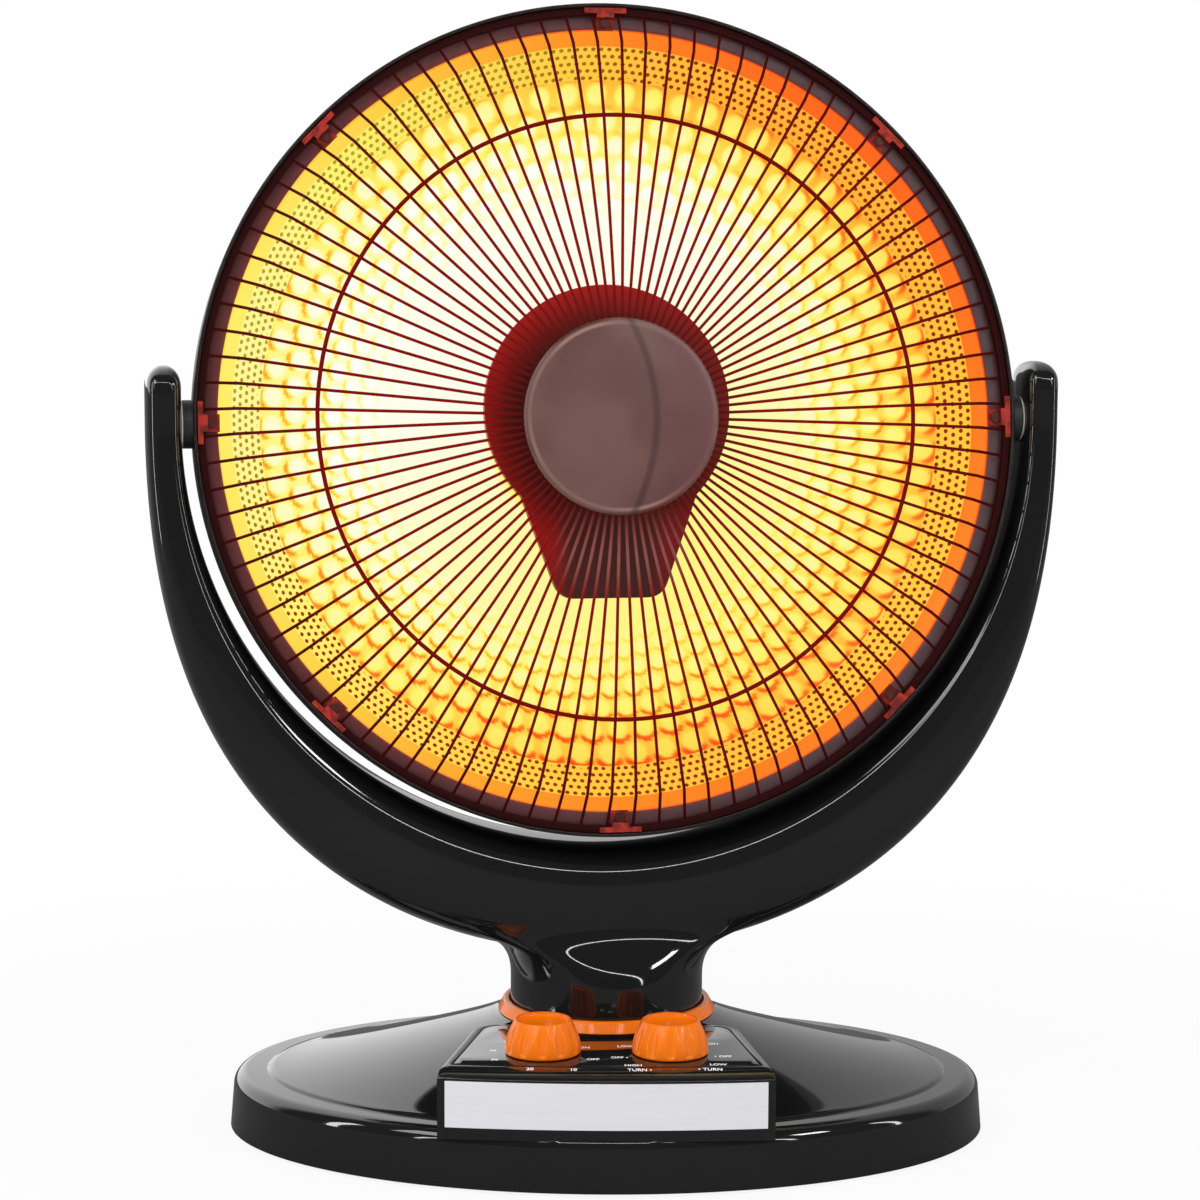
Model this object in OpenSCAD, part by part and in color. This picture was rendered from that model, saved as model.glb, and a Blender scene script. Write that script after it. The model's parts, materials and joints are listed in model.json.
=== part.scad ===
// Parabolic heater: a glowing dish in a swinging yoke on an oval base.
// The front faces -Y, +Z is up, and the origin is on the floor under the swing axis.
// The dish's own pieces are drawn in a dish frame: X right, Y up, Z out of the dish.

/* [Pose] */
// Turn of the yoke about the vertical at rest
swing_rest = 10; // [-35:1:35]
// Backward tilt of the head at rest
tilt_rest = 7.7; // [-10:0.1:30]
// Height of the tilt axis above the floor
pivot_z = 310; // [308:1:330]

/* [Base] */
// Half width of the oval base
base_half_w = 165; // [160:1:180]
// Half depth of the oval base
base_half_d = 108; // [106:1:120]
// Height of the rim's flat top
base_edge_h = 25.5; // [24.5:0.5:28]
// Radius of the rim's rounded top edge
base_corner_r = 6; // [4:0.5:7]
// How far the rim wall leans in over its height
base_draft = 1.5; // [0.5:0.1:2]
// Wall thickness of the base moulding
base_wall = 2.5; // [2:0.1:3]
// Width of the flat border round the dome
border_w = 11.5; // [10:0.5:13]
// Height of the step where the dome starts
dome_step = 1.2; // [0.6:0.1:1.6]
// Height of the dome's flat top
hub_z = 52; // [52:0.5:56]
// Radius of the dome's flat top
hub_r = 47.5; // [47:0.5:49]
// Gap between the base's lower edge and the floor
floor_gap = 1.5; // [1:0.1:2]
// Thickness of the steel bottom cover
cover_t = 2; // [1.5:0.1:2.5]
// Height of the rubber feet
foot_h = 3; // [2.6:0.1:4]
// Radius of the rubber feet
foot_r = 9; // [7:0.5:10]

/* [Console] */
// Half width of the console at its front
console_half_w = 69; // [67:0.5:72]
// Half width of the console at its back
console_back_half_w = 56; // [54:0.5:58]
// Distance of the console's front from the swing axis
console_front = 105; // [103:0.5:106]
// Distance of the console's back from the swing axis
console_back = 24; // [20:0.5:30]
// Radius of the console's back corners
console_corner_r = 13; // [8:0.5:16]
// Depth of the rounded brow along the console's front
brow_d = 10; // [6:0.5:12]
// Height of that brow
brow_h = 4; // [3:0.1:5]
// Radius of the console's bowed front face
console_bow_r = 531; // [450:1:700]
// Height of the console's top
console_z = 51; // [50:0.5:52.5]
// Wall thickness of the console
console_wall = 2.2; // [1.8:0.1:2.6]
// Thickness of the glossy top panel
panel_t = 1.4; // [1:0.1:1.8]
// Margin beside and behind the top panel
panel_margin = 3.6; // [3:0.1:5]
// Width of the bare front plate, measured round its bow
plate_w = 132.5; // [120:0.5:134]
// Height of the front plate
plate_h = 19.4; // [16:0.2:20]
// Thickness of the front plate
plate_t = 0.5; // [0.3:0.1:0.8]

/* [Knobs] */
// Distance of each knob from the middle
knob_x = 26.6; // [24:0.2:30]
// Distance of the knobs in front of the swing axis
knob_y = 71.8; // [68:0.2:75]
// Radius of a knob at its foot
knob_r = 16; // [14:0.5:17]
// Radius of a knob's top edge
knob_top_r = 11.9; // [10:0.1:12.5]
// Height of a knob
knob_h = 14.1; // [12:0.1:16]
// Number of finger scallops round a knob
scallops = 12; // [8:1:14]
// Radius of the knob shafts
shaft_r = 3; // [2.5:0.1:3.5]

/* [Neck and drive] */
// Radius of the yoke's round neck
neck_r = 42; // [40:0.5:42]
// Height of the orange collar ring
collar_h = 5.2; // [4.8:0.1:6]
// Outer radius of the hollow pivot post
post_r = 15; // [13:0.5:16]
// Bore radius of the pivot post
post_bore_r = 9; // [7:0.5:10]
// Swing to each side of straight ahead
swing_each_way = 35; // [25:1:35]
// Distance of the drive motor's axis behind the swing axis
drive_x = 27; // [26:0.5:29]
// Radius of the crank pin
crank_pin_r = 2.5; // [2:0.1:3]

/* [Yoke] */
// Inner radius of the yoke round the tilt axis
yoke_in_r = 182.5; // [182.5:0.5:186]
// Radial thickness of the arms at the tilt axis
arm_t = 15; // [14.5:0.5:18]
// Radial thickness added at the bottom of the crescent
belly_t = 32; // [26:1:34]
// Front to back depth of the arms
arm_d = 32; // [30:1:36]
// Front to back depth at the bottom of the crescent
belly_d = 60; // [50:1:66]
// Height of the arm tips above the tilt axis
arm_top = 25; // [22:1:30]
// Length over which an arm tip rounds off
arm_tip = 9; // [6:1:12]

/* [Tilt pivots] */
// Radius of the round bosses between rim and arms
boss_r = 10.2; // [8:0.1:11]
// Radius of the pivot journals
journal_r = 6; // [5:0.1:6.5]
// Length of the pivot journals
journal_l = 11; // [8:0.5:11.5]

/* [Dish] */
// Outer radius of the front rim
rim_r = 178; // [176:0.5:178]
// Wall thickness of the front rim's skirt
rim_wall = 1.6; // [1.2:0.1:2]
// Radius of the reflector's bright opening
mirror_r = 166.5; // [160:0.5:167]
// Depth of the reflector
mirror_depth = 84; // [70:1:86]
// Sheet thickness of the reflector
mirror_t = 1; // [0.6:0.1:1.2]
// Depth of the rear housing behind the tilt axis
rear_depth = 96; // [94:1:100]
// Wall thickness of the rear housing
rear_wall = 2.2; // [1.8:0.1:2.6]
// Number of cooling slots in the rear housing
vents = 24; // [12:1:30]

/* [Grille] */
// Number of radial wires
wires = 96; // [48:8:104]
// Radius of a wire
wire_r = 0.65; // [0.5:0.05:0.8]
// Radius of the ring that crosses the wires
ring_r = 127.5; // [110:0.5:140]
// Section radius of that ring
ring_wire_r = 0.9; // [0.7:0.1:1.4]
// Radius at which the wires bend back to the rim
kink_r = 160; // [152:0.5:162]
// Radius of the hub disc under the centre cap
hub_disc_r = 36; // [34:0.5:38]
// Radius of the centre cap
cap_r = 41.5; // [40:0.5:46]
// Number of clips that hold the grille
clips = 8; // [4:4:8]

/* [Element] */
// Radius of the round part of the heat shield
shield_r = 53.5; // [50:0.5:58]
// Height of the round part above the dish's axis
shield_rise = 5.5; // [3:0.5:8]
// Distance of the shield's foot below the dish's axis
shield_foot = 76; // [74:1:80]
// Radius of the ring of the quartz tube
tube_ring_r = 36; // [34:0.5:38]
// Outer radius of the quartz tube
tube_r = 5.5; // [5:0.1:6]
// Distance of each straight leg of the tube from the middle
tube_leg_x = 12; // [11:0.5:13]

/* [Hidden] */
$fn = 96;

fit = 0.05;         // running clearance on a radius
seat = 0.05;        // gap between pieces that are screwed together
oval_n = 60;        // corners of the oval outlines
gap = 0.5;          // clearance of a cover in its opening

// Oval outlines shared by the base and its cover
dome_half_w = base_half_w - base_corner_r - border_w;
dome_half_d = base_half_d - base_corner_r - border_w + 3.5;
dome_z = base_edge_h + dome_step;
cover_z = foot_h;
cover_top = cover_z + cover_t;

// Levels of the swivel, from the hub down
washer_z = hub_z + seat;
washer_t = 0.45;
plate_z = washer_z + washer_t + seat;
neck_z = hub_z + collar_h - 0.2;
hub_hole_r = 34;
flange_t = 3.2;
flange_z = hub_z - base_wall - seat - flange_t;
nut_t = 3.3;
nut_z = flange_z - 2 * seat - nut_t;
arm_z = nut_z - 13.4;
swing_arm_t = 3;
post_z = arm_z - 0.5;

// Crank and slot: the pin's circle just touches the slotted arm's end positions
crank_r = drive_x * sin(swing_each_way);
crank_ratio = (90 + swing_each_way) / swing_each_way;
motor_top = cover_top + 14;
crank_z = motor_top + 2.5;
crank_t = 3;
slot_half_w = crank_pin_r + 0.12 * drive_x;

// Console
panel_z = console_z - panel_t + 0.2;
knob_z = console_z + 0.6;
control_top = panel_z - console_wall;
plate_low = console_z - brow_h - plate_h;
sill_z = base_edge_h - base_wall - 0.5;

// Yoke
screw_angles = [-76, -50, -23, 23, 50, 76];
screw_r = 1.5;
head_r = 3.2;

// Dish frame levels along its axis
ledge_top = 6;
ledge_t = 1.4;
band_z = ledge_top + 0.1;
band_h = 2.8;
band_in_r = rim_r - rim_wall - 3.2;
band_out_r = rim_r - rim_wall - 0.3;
flange_top = ledge_top - ledge_t - 0.1;
mirror_edge = flange_top;
skirt_back = -9;
rear_r = rim_r - rim_wall - 0.2;
rear_top = flange_top - mirror_t - 0.2;
clip_screw_r = band_in_r - 3.5;
clip_shaft_r = 1.25;
clip_riser_r = band_in_r - 1.4;   // inner face of a clip's riser
wire_path = [
    [hub_disc_r - 1.5, 29],
    [ring_r, 25.2],
    [kink_r, 19],
    [band_in_r + 0.8, band_z + 1.5]
];
hub_disc_z = 27.9;
hub_disc_t = 2.2;

// Element
shield_z = -3;
shield_t = 0.8;
shield_lip = 4;
tube_z = -12;
tube_wall = 1.1;
tube_gap_half = 60;   // degrees from the right to the tube ring's end, below the middle
bend_r = (tube_leg_x - tube_ring_r * cos(tube_gap_half)) / (cos(tube_gap_half) - 1);
holder_top = -60;
holder_len = 12;
holder_half = 7;
bore_depth = 6.5;

// ---------------------------------------------------------------- helpers

module at_yoke() {
    rotate([0, 0, swing_rest]) children();
}

module at_head() {
    at_yoke() translate([0, 0, pivot_z]) rotate([-tilt_rest, 0, 0]) children();
}

module at_dish() {
    at_head() rotate([90, 0, 0]) children();
}

function oval(a, b, z) = [for (i = [0:oval_n - 1])
    [a * cos(360 * i / oval_n), b * sin(360 * i / oval_n), z]];

function flat(points) = [for (p = points) [p[0], p[1]]];

// Signed power, for rounded-box sections
function spow(v, e) = sign(v) * pow(abs(v), e);

function unit(v) = v / norm(v);

// Points of a polygon whose corners, given as [x, y, radius], are rounded
function rounded(corners) = let (n = len(corners)) [for (i = [0:n - 1])
    let (p = corners[i], at = [p[0], p[1]], a = corners[(i + n - 1) % n], b = corners[(i + 1) % n],
        u = unit([a[0], a[1]] - at), v = unit([b[0], b[1]] - at), half = acos(u * v) / 2,
        hub = at + unit(u + v) * p[2] / sin(half), from = at + u * p[2] / tan(half) - hub,
        turn = sign(cross(u, v)) * (2 * half - 180))
    each p[2] == 0 ? [at] : [for (k = [0:6])
        let (c = cos(turn * k / 6), s = sin(turn * k / 6))
        hub + [c * from[0] - s * from[1], s * from[0] + c * from[1]]]];

// Skin over a list of rings with as many points each; a ring list can also close on itself
module loft(rings, ring_closes = false) {
    m = len(rings);
    n = len(rings[0]);
    last = ring_closes ? m - 1 : m - 2;
    sides = [for (i = [0:last]) for (j = [0:n - 1])
        let (a = i * n + j, b = i * n + (j + 1) % n, k = (i + 1) % m, c = k * n + j, d = k * n + (j + 1) % n)
        each [[a, c, b], [b, c, d]]];
    caps = ring_closes ? [] : [[for (j = [0:n - 1]) j], [for (j = [n - 1:-1:0]) (m - 1) * n + j]];
    polyhedron(points = [for (r = rings) each r], faces = concat(sides, caps), convexity = 8);
}

// Height of the dome's skin where its half width is a
function dome_share(u) = 0.9 * pow(u, 1.15) + 0.1 * pow(u, 8);

function dome_ring(u, drop) = oval(
    dome_half_w + (hub_r - dome_half_w) * u,
    dome_half_d + (hub_r - dome_half_d) * u,
    dome_z + (hub_z - dome_z) * dome_share(u) - drop);

// ---------------------------------------------------------------- base

// Console seen from above: bowed front, tapering sides, round back corners and a bay for the hub
module console_outline(inset, front_inset) {
    side = console_half_w - inset;
    back = console_back_half_w - inset;
    r = console_corner_r - inset;
    difference() {
        intersection() {
            translate([0, console_bow_r - console_front])
                circle(r = console_bow_r - front_inset, $fn = 360);
            polygon(rounded([
                [side + 2, -console_front - 5, 0],
                [back, -console_back - inset, r],
                [-back, -console_back - inset, r],
                [-side - 2, -console_front - 5, 0]
            ]));
        }
        circle(r = hub_r + inset);
    }
}

// Body of revolution whose rounded shoulder shapes the console's brow
module console_brow() {
    translate([0, console_bow_r - console_front, 0]) rotate_extrude($fn = 360) polygon(concat(
        [[0, 0], [console_bow_r, 0]],
        [for (a = [0:15:90])
            [console_bow_r - brow_d * (1 - cos(a)), console_z - brow_h * (1 - sin(a))]],
        [[0, console_z]]));
}

// The screw bosses stand on one oval under the foot of the dome
boss_ring = dome_ring(0.1, 0)[0];
boss_half_d = dome_half_d + (hub_r - dome_half_d) * 0.1;
boss_places = [for (a = [0, 55, 125, 180, 235, 305]) [boss_ring[0] * cos(a), boss_half_d * sin(a)]];
boss_top = boss_ring[2] - base_wall + 0.7;

// One-piece moulding: leaning rim, rounded edge, flat border, stepped dome and flat hub
module base_shell() {
    lean = base_draft;
    w = base_half_w;
    d = base_half_d;
    c = base_corner_r;
    outer = [
        oval(w, d, floor_gap),
        oval(w - lean, d - lean, base_edge_h - c),
        oval(w - lean - 0.134 * c, d - lean - 0.134 * c, base_edge_h - 0.5 * c),
        oval(w - lean - 0.5 * c, d - lean - 0.5 * c, base_edge_h - 0.134 * c),
        oval(w - lean - c, d - lean - c, base_edge_h),
        oval(dome_half_w + 0.8, dome_half_d + 0.8, base_edge_h)
    ];
    dome = [for (u = [0, 0.2, 0.4, 0.6, 0.75, 0.87, 0.95, 1]) dome_ring(u, 0)];
    under = [for (u = [1, 0.87, 0.6, 0.3, 0]) dome_ring(u, base_wall)];
    inner = [
        oval(hub_hole_r, hub_hole_r, hub_z),
        oval(hub_hole_r, hub_hole_r, hub_z - base_wall)
    ];
    rim = [
        oval(w - lean - c, d - lean - c, base_edge_h - base_wall),
        oval(w - lean - base_wall, d - lean - base_wall, base_edge_h - c),
        oval(w - base_wall, d - base_wall, floor_gap)
    ];
    color([0.05, 0.05, 0.055]) difference() {
        union() {
            loft(concat(outer, dome, inner, under, rim), ring_closes = true);
            for (p = boss_places)
                translate([p[0], p[1], cover_top + seat])
                    cylinder(r = 4, h = boss_top - cover_top - seat);
        }
        translate([0, 0, sill_z]) linear_extrude(40) console_outline(-fit, -fit);
        for (p = boss_places)
            translate([p[0], p[1], cover_top]) cylinder(r = screw_r + fit, h = 12);
        translate([0, gland_seat, gland_z]) rotate([-90, 0, 0]) {
            translate([0, 0, -12]) cylinder(r = gland_r + 0.1, h = 20);
            cylinder(r = gland_r + 2.2, h = 10);
        }
    }
}

plunger_at = [70, 30];
plunger_r = 4;

module base_bottom() {
    color([0.55, 0.55, 0.56]) difference() {
        translate([0, 0, cover_z]) linear_extrude(cover_t)
            polygon(flat(oval(base_half_w - base_wall - gap, base_half_d - base_wall - gap, 0)));
        for (p = boss_places)
            translate([p[0], p[1], 0]) cylinder(r = screw_r + 0.2, h = 10);
        translate([plunger_at[0], plunger_at[1], 0]) cylinder(r = plunger_r + 0.4, h = 10);
    }
}

foot_places = [for (sx = [-1, 1], sy = [-1, 1]) [sx * 0.72 * base_half_w, sy * 0.5 * base_half_d]];

module base_feet() {
    color([0.1, 0.1, 0.1]) for (p = foot_places)
        translate([p[0], p[1], 0]) cylinder(r = foot_r, h = foot_h);
}

module base_screws() {
    color([0.6, 0.6, 0.62]) for (p = boss_places) translate([p[0], p[1], 0]) {
        translate([0, 0, cover_z - 1.6]) cylinder(r = head_r, h = 1.6);
        translate([0, 0, cover_z]) cylinder(r = screw_r, h = cover_t + 11);
    }
}

gland_z = 13.2;
gland_r = 6;
cord_hole_r = 3.5;
gland_seat = base_half_d - 2;   // flat face sunk into the leaning rear wall

// Snap-in gland for the supply lead, in the rear wall
module cord_gland() {
    color([0.07, 0.07, 0.07]) translate([0, gland_seat, gland_z]) rotate([-90, 0, 0]) difference() {
        union() {
            translate([0, 0, -base_wall - 3.5]) cylinder(r = gland_r, h = base_wall + 4.5);
            translate([0, 0, seat]) cylinder(r = gland_r + 1.8, h = 1.95);
            translate([0, 0, -base_wall - 2]) cylinder(r = gland_r + 1, h = 1.6);
        }
        translate([0, 0, -base_wall - 5]) cylinder(r = cord_hole_r, h = 20);
    }
}

module console_housing() {
    low = sill_z + seat;
    color([0.04, 0.04, 0.045]) difference() {
        intersection() {
            union() {
                translate([0, 0, low]) linear_extrude(console_z - 1.2 - low) console_outline(0, 0);
                translate([0, 0, console_z - 1.3]) linear_extrude(1.3) console_outline(0.9, 0);
            }
            console_brow();
        }
        translate([0, 0, low - 1]) linear_extrude(control_top - low + 1)
            console_outline(console_wall, console_wall);
        translate([0, 0, panel_z]) linear_extrude(5)
            console_outline(panel_margin - seat, brow_d - seat);
        for (s = [-1, 1])
            translate([s * knob_x, -knob_y, console_z - 10]) cylinder(r = shaft_r + 1, h = 20);
    }
}

module console_panel() {
    color([0.02, 0.02, 0.025]) difference() {
        translate([0, 0, panel_z + seat]) linear_extrude(panel_t - seat)
            console_outline(panel_margin, brow_d);
        for (s = [-1, 1])
            translate([s * knob_x, -knob_y, console_z - 10]) cylinder(r = shaft_r + 0.6, h = 20);
    }
}

// Bare bowed plate on the console's front
module front_plate() {
    half = plate_w / 2 / console_bow_r * 180 / PI;
    color([0.82, 0.82, 0.83]) translate([0, console_bow_r - console_front, plate_low])
        rotate([0, 0, -90 - half]) rotate_extrude(angle = 2 * half, $fn = 360)
            translate([console_bow_r + seat, 0]) square([plate_t, plate_h]);
}

module collar_ring() {
    color([0.93, 0.4, 0.08]) rotate_extrude() translate([0, hub_z + seat]) polygon([
        [neck_r + 0.7, 0],
        [hub_r, 0],
        [hub_r - 0.2, 1.2],
        [hub_r - 3.2, collar_h - 0.3],
        [hub_r - 3.8, collar_h],
        [neck_r + 0.7, collar_h]
    ]);
}

// Flanged bearing that drops into the hub from below
module hub_bearing() {
    color([0.9, 0.9, 0.88]) difference() {
        union() {
            translate([0, 0, flange_z]) cylinder(r = hub_hole_r + 9, h = flange_t);
            translate([0, 0, flange_z]) cylinder(r = hub_hole_r - 0.4, h = hub_z - flange_z);
        }
        translate([0, 0, flange_z - 1]) cylinder(r = post_r + fit, h = 20);
    }
}

module control_body(x, body_r, body_h) {
    translate([x, -knob_y, 0]) difference() {
        union() {
            translate([0, 0, control_top - seat - 1.5 - body_h]) cylinder(r = body_r, h = body_h);
            translate([-body_r - 5, -6, control_top - seat - 1.5]) cube([2 * body_r + 10, 12, 1.5]);
        }
        translate([0, 0, control_top - body_h + 3]) cylinder(r = shaft_r + fit, h = body_h);
    }
}

module timer_body() {
    color([0.75, 0.76, 0.78]) control_body(-knob_x, 17, 18);
}

module selector_body() {
    color([0.2, 0.2, 0.2]) control_body(knob_x, 13, 15);
}

module drive_motor() {
    color([0.7, 0.7, 0.7]) translate([0, drive_x, cover_top]) difference() {
        cylinder(r = 24, h = motor_top - cover_top);
        translate([0, 0, 8]) cylinder(r = 3 + fit, h = 20);
    }
}

switch_z = cover_top + 8;

// Tip-over switch on two legs over the plunger
module tip_switch() {
    color([0.12, 0.12, 0.13]) translate([plunger_at[0], plunger_at[1], 0]) difference() {
        union() {
            translate([-13, -7, switch_z]) cube([26, 14, 11]);
            for (x = [-13, 9]) translate([x, -7, cover_top]) cube([4, 14, 9]);
        }
        translate([0, 0, switch_z - 1]) cylinder(r = 2 + fit, h = 10);
    }
}

module tip_plunger() {
    color([0.85, 0.85, 0.8]) translate([plunger_at[0], plunger_at[1], 0]) {
        translate([0, 0, 0.3]) cylinder(r = plunger_r, h = 10);
        translate([0, 0, cover_top + 5]) cylinder(r = plunger_r + 1.5, h = 1.5);
        translate([0, 0, 10]) cylinder(r = 2, h = switch_z - 3);
    }
}

module terminal_block() {
    color([0.88, 0.86, 0.8]) translate([-95, 24, cover_top]) difference() {
        cube([38, 14, 12]);
        for (i = [0:2]) translate([7 + 12 * i, 7, 6]) cylinder(r = 2.2, h = 10);
    }
}

// ---------------------------------------------------------------- knobs

module control_knob(x) {
    lean = atan2(knob_r - knob_top_r, knob_h);
    translate([x, -knob_y, knob_z]) difference() {
        rotate_extrude() polygon([
            [0, 0],
            [knob_r - 0.4, 0],
            [knob_r, 0.7],
            [knob_r - 0.1, 0.22 * knob_h],
            [knob_r - 0.7, 0.42 * knob_h],
            [knob_r - 1.8, 0.64 * knob_h],
            [knob_top_r + 0.9, 0.85 * knob_h],
            [knob_top_r, knob_h - 0.3],
            [knob_top_r - 0.4, knob_h],
            [knob_top_r - 1.1, knob_h - 0.2],
            [knob_top_r - 2, 0.86 * knob_h],
            [0, 0.83 * knob_h]
        ]);
        for (k = [0:scallops - 1]) rotate([0, 0, (k + 0.5) * 360 / scallops])
            translate([knob_r + 2.4, 0, 0.22 * knob_h]) rotate([0, -lean, 0]) {
                sphere(r = 3.2, $fn = 32);
                cylinder(r = 3.2, h = knob_h, $fn = 32);
            }
        translate([0, 0, -1]) cylinder(r = shaft_r + fit, h = 0.6 * knob_h + 1);
    }
}

module control_shaft(x, body_h) {
    low = control_top - body_h + 3.5;
    translate([x, -knob_y, low]) cylinder(r = shaft_r, h = knob_z + 0.55 * knob_h - low);
}

module timer_knob() {
    color([0.96, 0.45, 0.08]) control_knob(-knob_x);
}

module timer_shaft() {
    color([0.8, 0.8, 0.82]) control_shaft(-knob_x, 18);
}

module selector_knob() {
    color([0.96, 0.45, 0.08]) control_knob(knob_x);
}

module selector_shaft() {
    color([0.8, 0.8, 0.82]) control_shaft(knob_x, 15);
}

// ---------------------------------------------------------------- swivel and drive

// The crank's turn at rest follows from the yoke's
module motor_crank() {
    color([0.9, 0.9, 0.86]) translate([0, drive_x, 0]) rotate([0, 0, swing_rest * crank_ratio]) {
        translate([0, 0, cover_top + 9]) cylinder(r = 3, h = crank_z - cover_top - 9);
        translate([0, 0, crank_z]) cylinder(r = crank_r + crank_pin_r + 1, h = crank_t);
        translate([0, crank_r, crank_z]) cylinder(r = crank_pin_r, h = arm_z + swing_arm_t + 1 - crank_z);
    }
}

module pivot_post() {
    color([0.6, 0.6, 0.62]) difference() {
        translate([0, 0, post_z]) cylinder(r = post_r, h = neck_z - seat - post_z);
        translate([0, 0, post_z - 1]) cylinder(r = post_bore_r, h = 60);
    }
}

module post_nut() {
    color([0.6, 0.6, 0.62]) difference() {
        translate([0, 0, nut_z]) cylinder(r = post_r + 6, h = nut_t, $fn = 6);
        translate([0, 0, nut_z - 1]) cylinder(r = post_r + 0.03, h = 10);
    }
}

module glide_washer() {
    color([0.9, 0.9, 0.86]) difference() {
        translate([0, 0, washer_z]) cylinder(r = hub_hole_r - 1, h = washer_t);
        translate([0, 0, washer_z - 1]) cylinder(r = post_r + 0.4, h = 5);
    }
}

// Slotted arm on the foot of the post, driven by the crank pin
module swing_arm() {
    far = drive_x + crank_r + crank_pin_r + 1;
    near = drive_x * cos(swing_each_way) - crank_pin_r - 0.6;
    color([0.65, 0.65, 0.66]) at_yoke() translate([0, 0, arm_z]) difference() {
        union() {
            cylinder(r = post_r + 3.5, h = swing_arm_t);
            translate([-slot_half_w - 3, 0, 0]) cube([2 * slot_half_w + 6, far + 3, swing_arm_t]);
        }
        translate([0, 0, -1]) cylinder(r = post_r + 0.03, h = 10);
        translate([-slot_half_w, near, -1]) cube([2 * slot_half_w, far - near, 10]);
    }
}

neck_screw_r = 1.9;
neck_screw_places = [for (a = [45:90:315]) 30 * [cos(a), sin(a)]];

module neck_plate() {
    color([0.5, 0.5, 0.52]) at_yoke() difference() {
        translate([0, 0, plate_z]) cylinder(r = neck_r - 0.5, h = neck_z - seat - plate_z);
        translate([0, 0, plate_z - 1]) cylinder(r = post_r + 0.03, h = 20);
        for (p = neck_screw_places) translate([p[0], p[1], plate_z - 1]) {
            cylinder(r = neck_screw_r + 0.1, h = 20);
            cylinder(r = head_r + 0.4, h = 3.2);
        }
    }
}

module neck_screws() {
    color([0.6, 0.6, 0.62]) at_yoke() for (p = neck_screw_places) translate([p[0], p[1], plate_z + 0.15]) {
        cylinder(r = head_r + 0.2, h = 2);
        cylinder(r = neck_screw_r, h = 12);
    }
}

// ---------------------------------------------------------------- yoke

// Radial thickness and depth of the crescent at an angle from straight down
function crescent_t(a) = arm_t + belly_t * (1 - pow(abs(sin(a)), 3.6));
function crescent_d(a) = arm_d + (belly_d - arm_d) * pow(abs(cos(a)), 1.4);

function tip_scale(h) = h <= arm_top - arm_tip
    ? 1 : pow(max(0.001, 1 - pow((h - arm_top + arm_tip) / arm_tip, 2.2)), 1 / 2.2);

section_n = 12;
part_gap = 0.02;   // half the gap between the two shells

// Half a rounded-box section: closed along the parting plane between the two shells
function yoke_section(a, h, side) =
    let (t = crescent_t(a), s = tip_scale(h), mid = yoke_in_r + t / 2, d = crescent_d(a) / 2 * s)
    [for (k = [0:section_n])
        let (b = 180 * k / section_n, r = mid + t / 2 * s * spow(cos(b), 0.5))
        [r * sin(a), side * (part_gap + d * spow(sin(b), 0.6)), pivot_z - r * cos(a) + h]];

tip_heights = [for (k = [0, 0.3, 0.64, 0.78, 0.89, 0.96, 0.997]) k * arm_top];
arc_step = 5;

module crescent(side) {
    left = [for (i = [len(tip_heights) - 1:-1:1]) yoke_section(-90, tip_heights[i], side)];
    arc = [for (a = [-90:arc_step:90]) yoke_section(a, 0, side)];
    right = [for (i = [1:len(tip_heights) - 1]) yoke_section(90, tip_heights[i], side)];
    rings = concat(left, arc, right);
    loft(side < 0 ? [for (i = [len(rings) - 1:-1:0]) rings[i]] : rings);
}

belly_z = pivot_z - yoke_in_r - arm_t - belly_t;
neck_n = 16;

// Trumpet from the round neck into the crescent: height, half width and half depth of each ring
module neck(side) {
    flare = [
        [neck_z, neck_r, neck_r],
        [neck_z + 12, neck_r - 0.3, neck_r - 0.3],
        [belly_z - 3, neck_r + 1.6, neck_r],
        [belly_z + 3.5, neck_r + 6.5, neck_r - 0.5],
        [belly_z + 8.5, neck_r + 15, neck_r - 3],
        [belly_z + 13, neck_r + 25, neck_r - 8],
        [belly_z + 18, neck_r + 29, neck_r - 14],
        [belly_z + 26, neck_r + 10, neck_r - 24]
    ];
    rings = [for (f = flare) [for (k = [0:neck_n])
        let (b = 180 * k / neck_n) [f[1] * cos(b), side * (part_gap + f[2] * sin(b)), f[0]]]];
    loft(side < 0 ? [for (i = [len(rings) - 1:-1:0]) rings[i]] : rings);
}

bulge_half_w = 37;
bulge_half_h = 16.5;
bulge_reach = 28;
bulge_z = belly_z + 6;

// Oval swelling on the front of the neck
module neck_bulge() {
    rings = [for (b = [0, 20, 40, 58, 72, 84]) [for (k = [0:23])
        [bulge_half_w * cos(b) * cos(15 * k), 18 - neck_r - bulge_reach * sin(b),
            bulge_z + bulge_half_h * cos(b) * sin(15 * k)]]];
    loft(rings);
}

module yoke_cuts() {
    for (s = [-1, 1]) translate([0, 0, pivot_z]) rotate([0, s * 90, 0]) translate([0, 0, yoke_in_r - 2]) {
        cylinder(r = bush_r + fit, h = bush_l + 2.5);
        cylinder(r = boss_r + 0.3, h = 2.2);
    }
    for (a = screw_angles) translate(screw_place(a)) rotate([-90, 0, 0]) {
        translate([0, 0, -9]) cylinder(r = screw_r + fit, h = 60);
        translate([0, 0, crescent_d(a) / 2 - 4]) cylinder(r = head_r + 0.2, h = 10);
    }
    translate([0, 0, neck_z - 1]) cylinder(r = post_bore_r + 2, h = 18);
    for (p = neck_screw_places)
        translate([p[0], p[1], neck_z - 1]) cylinder(r = neck_screw_r + fit, h = 12);
}

function screw_place(a) = let (r = yoke_in_r + crescent_t(a) / 2) [r * sin(a), 0, pivot_z - r * cos(a)];

module yoke_front() {
    color([0.03, 0.03, 0.035]) at_yoke() difference() {
        union() {
            crescent(-1);
            neck(-1);
            neck_bulge();
        }
        yoke_cuts();
    }
}

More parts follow.
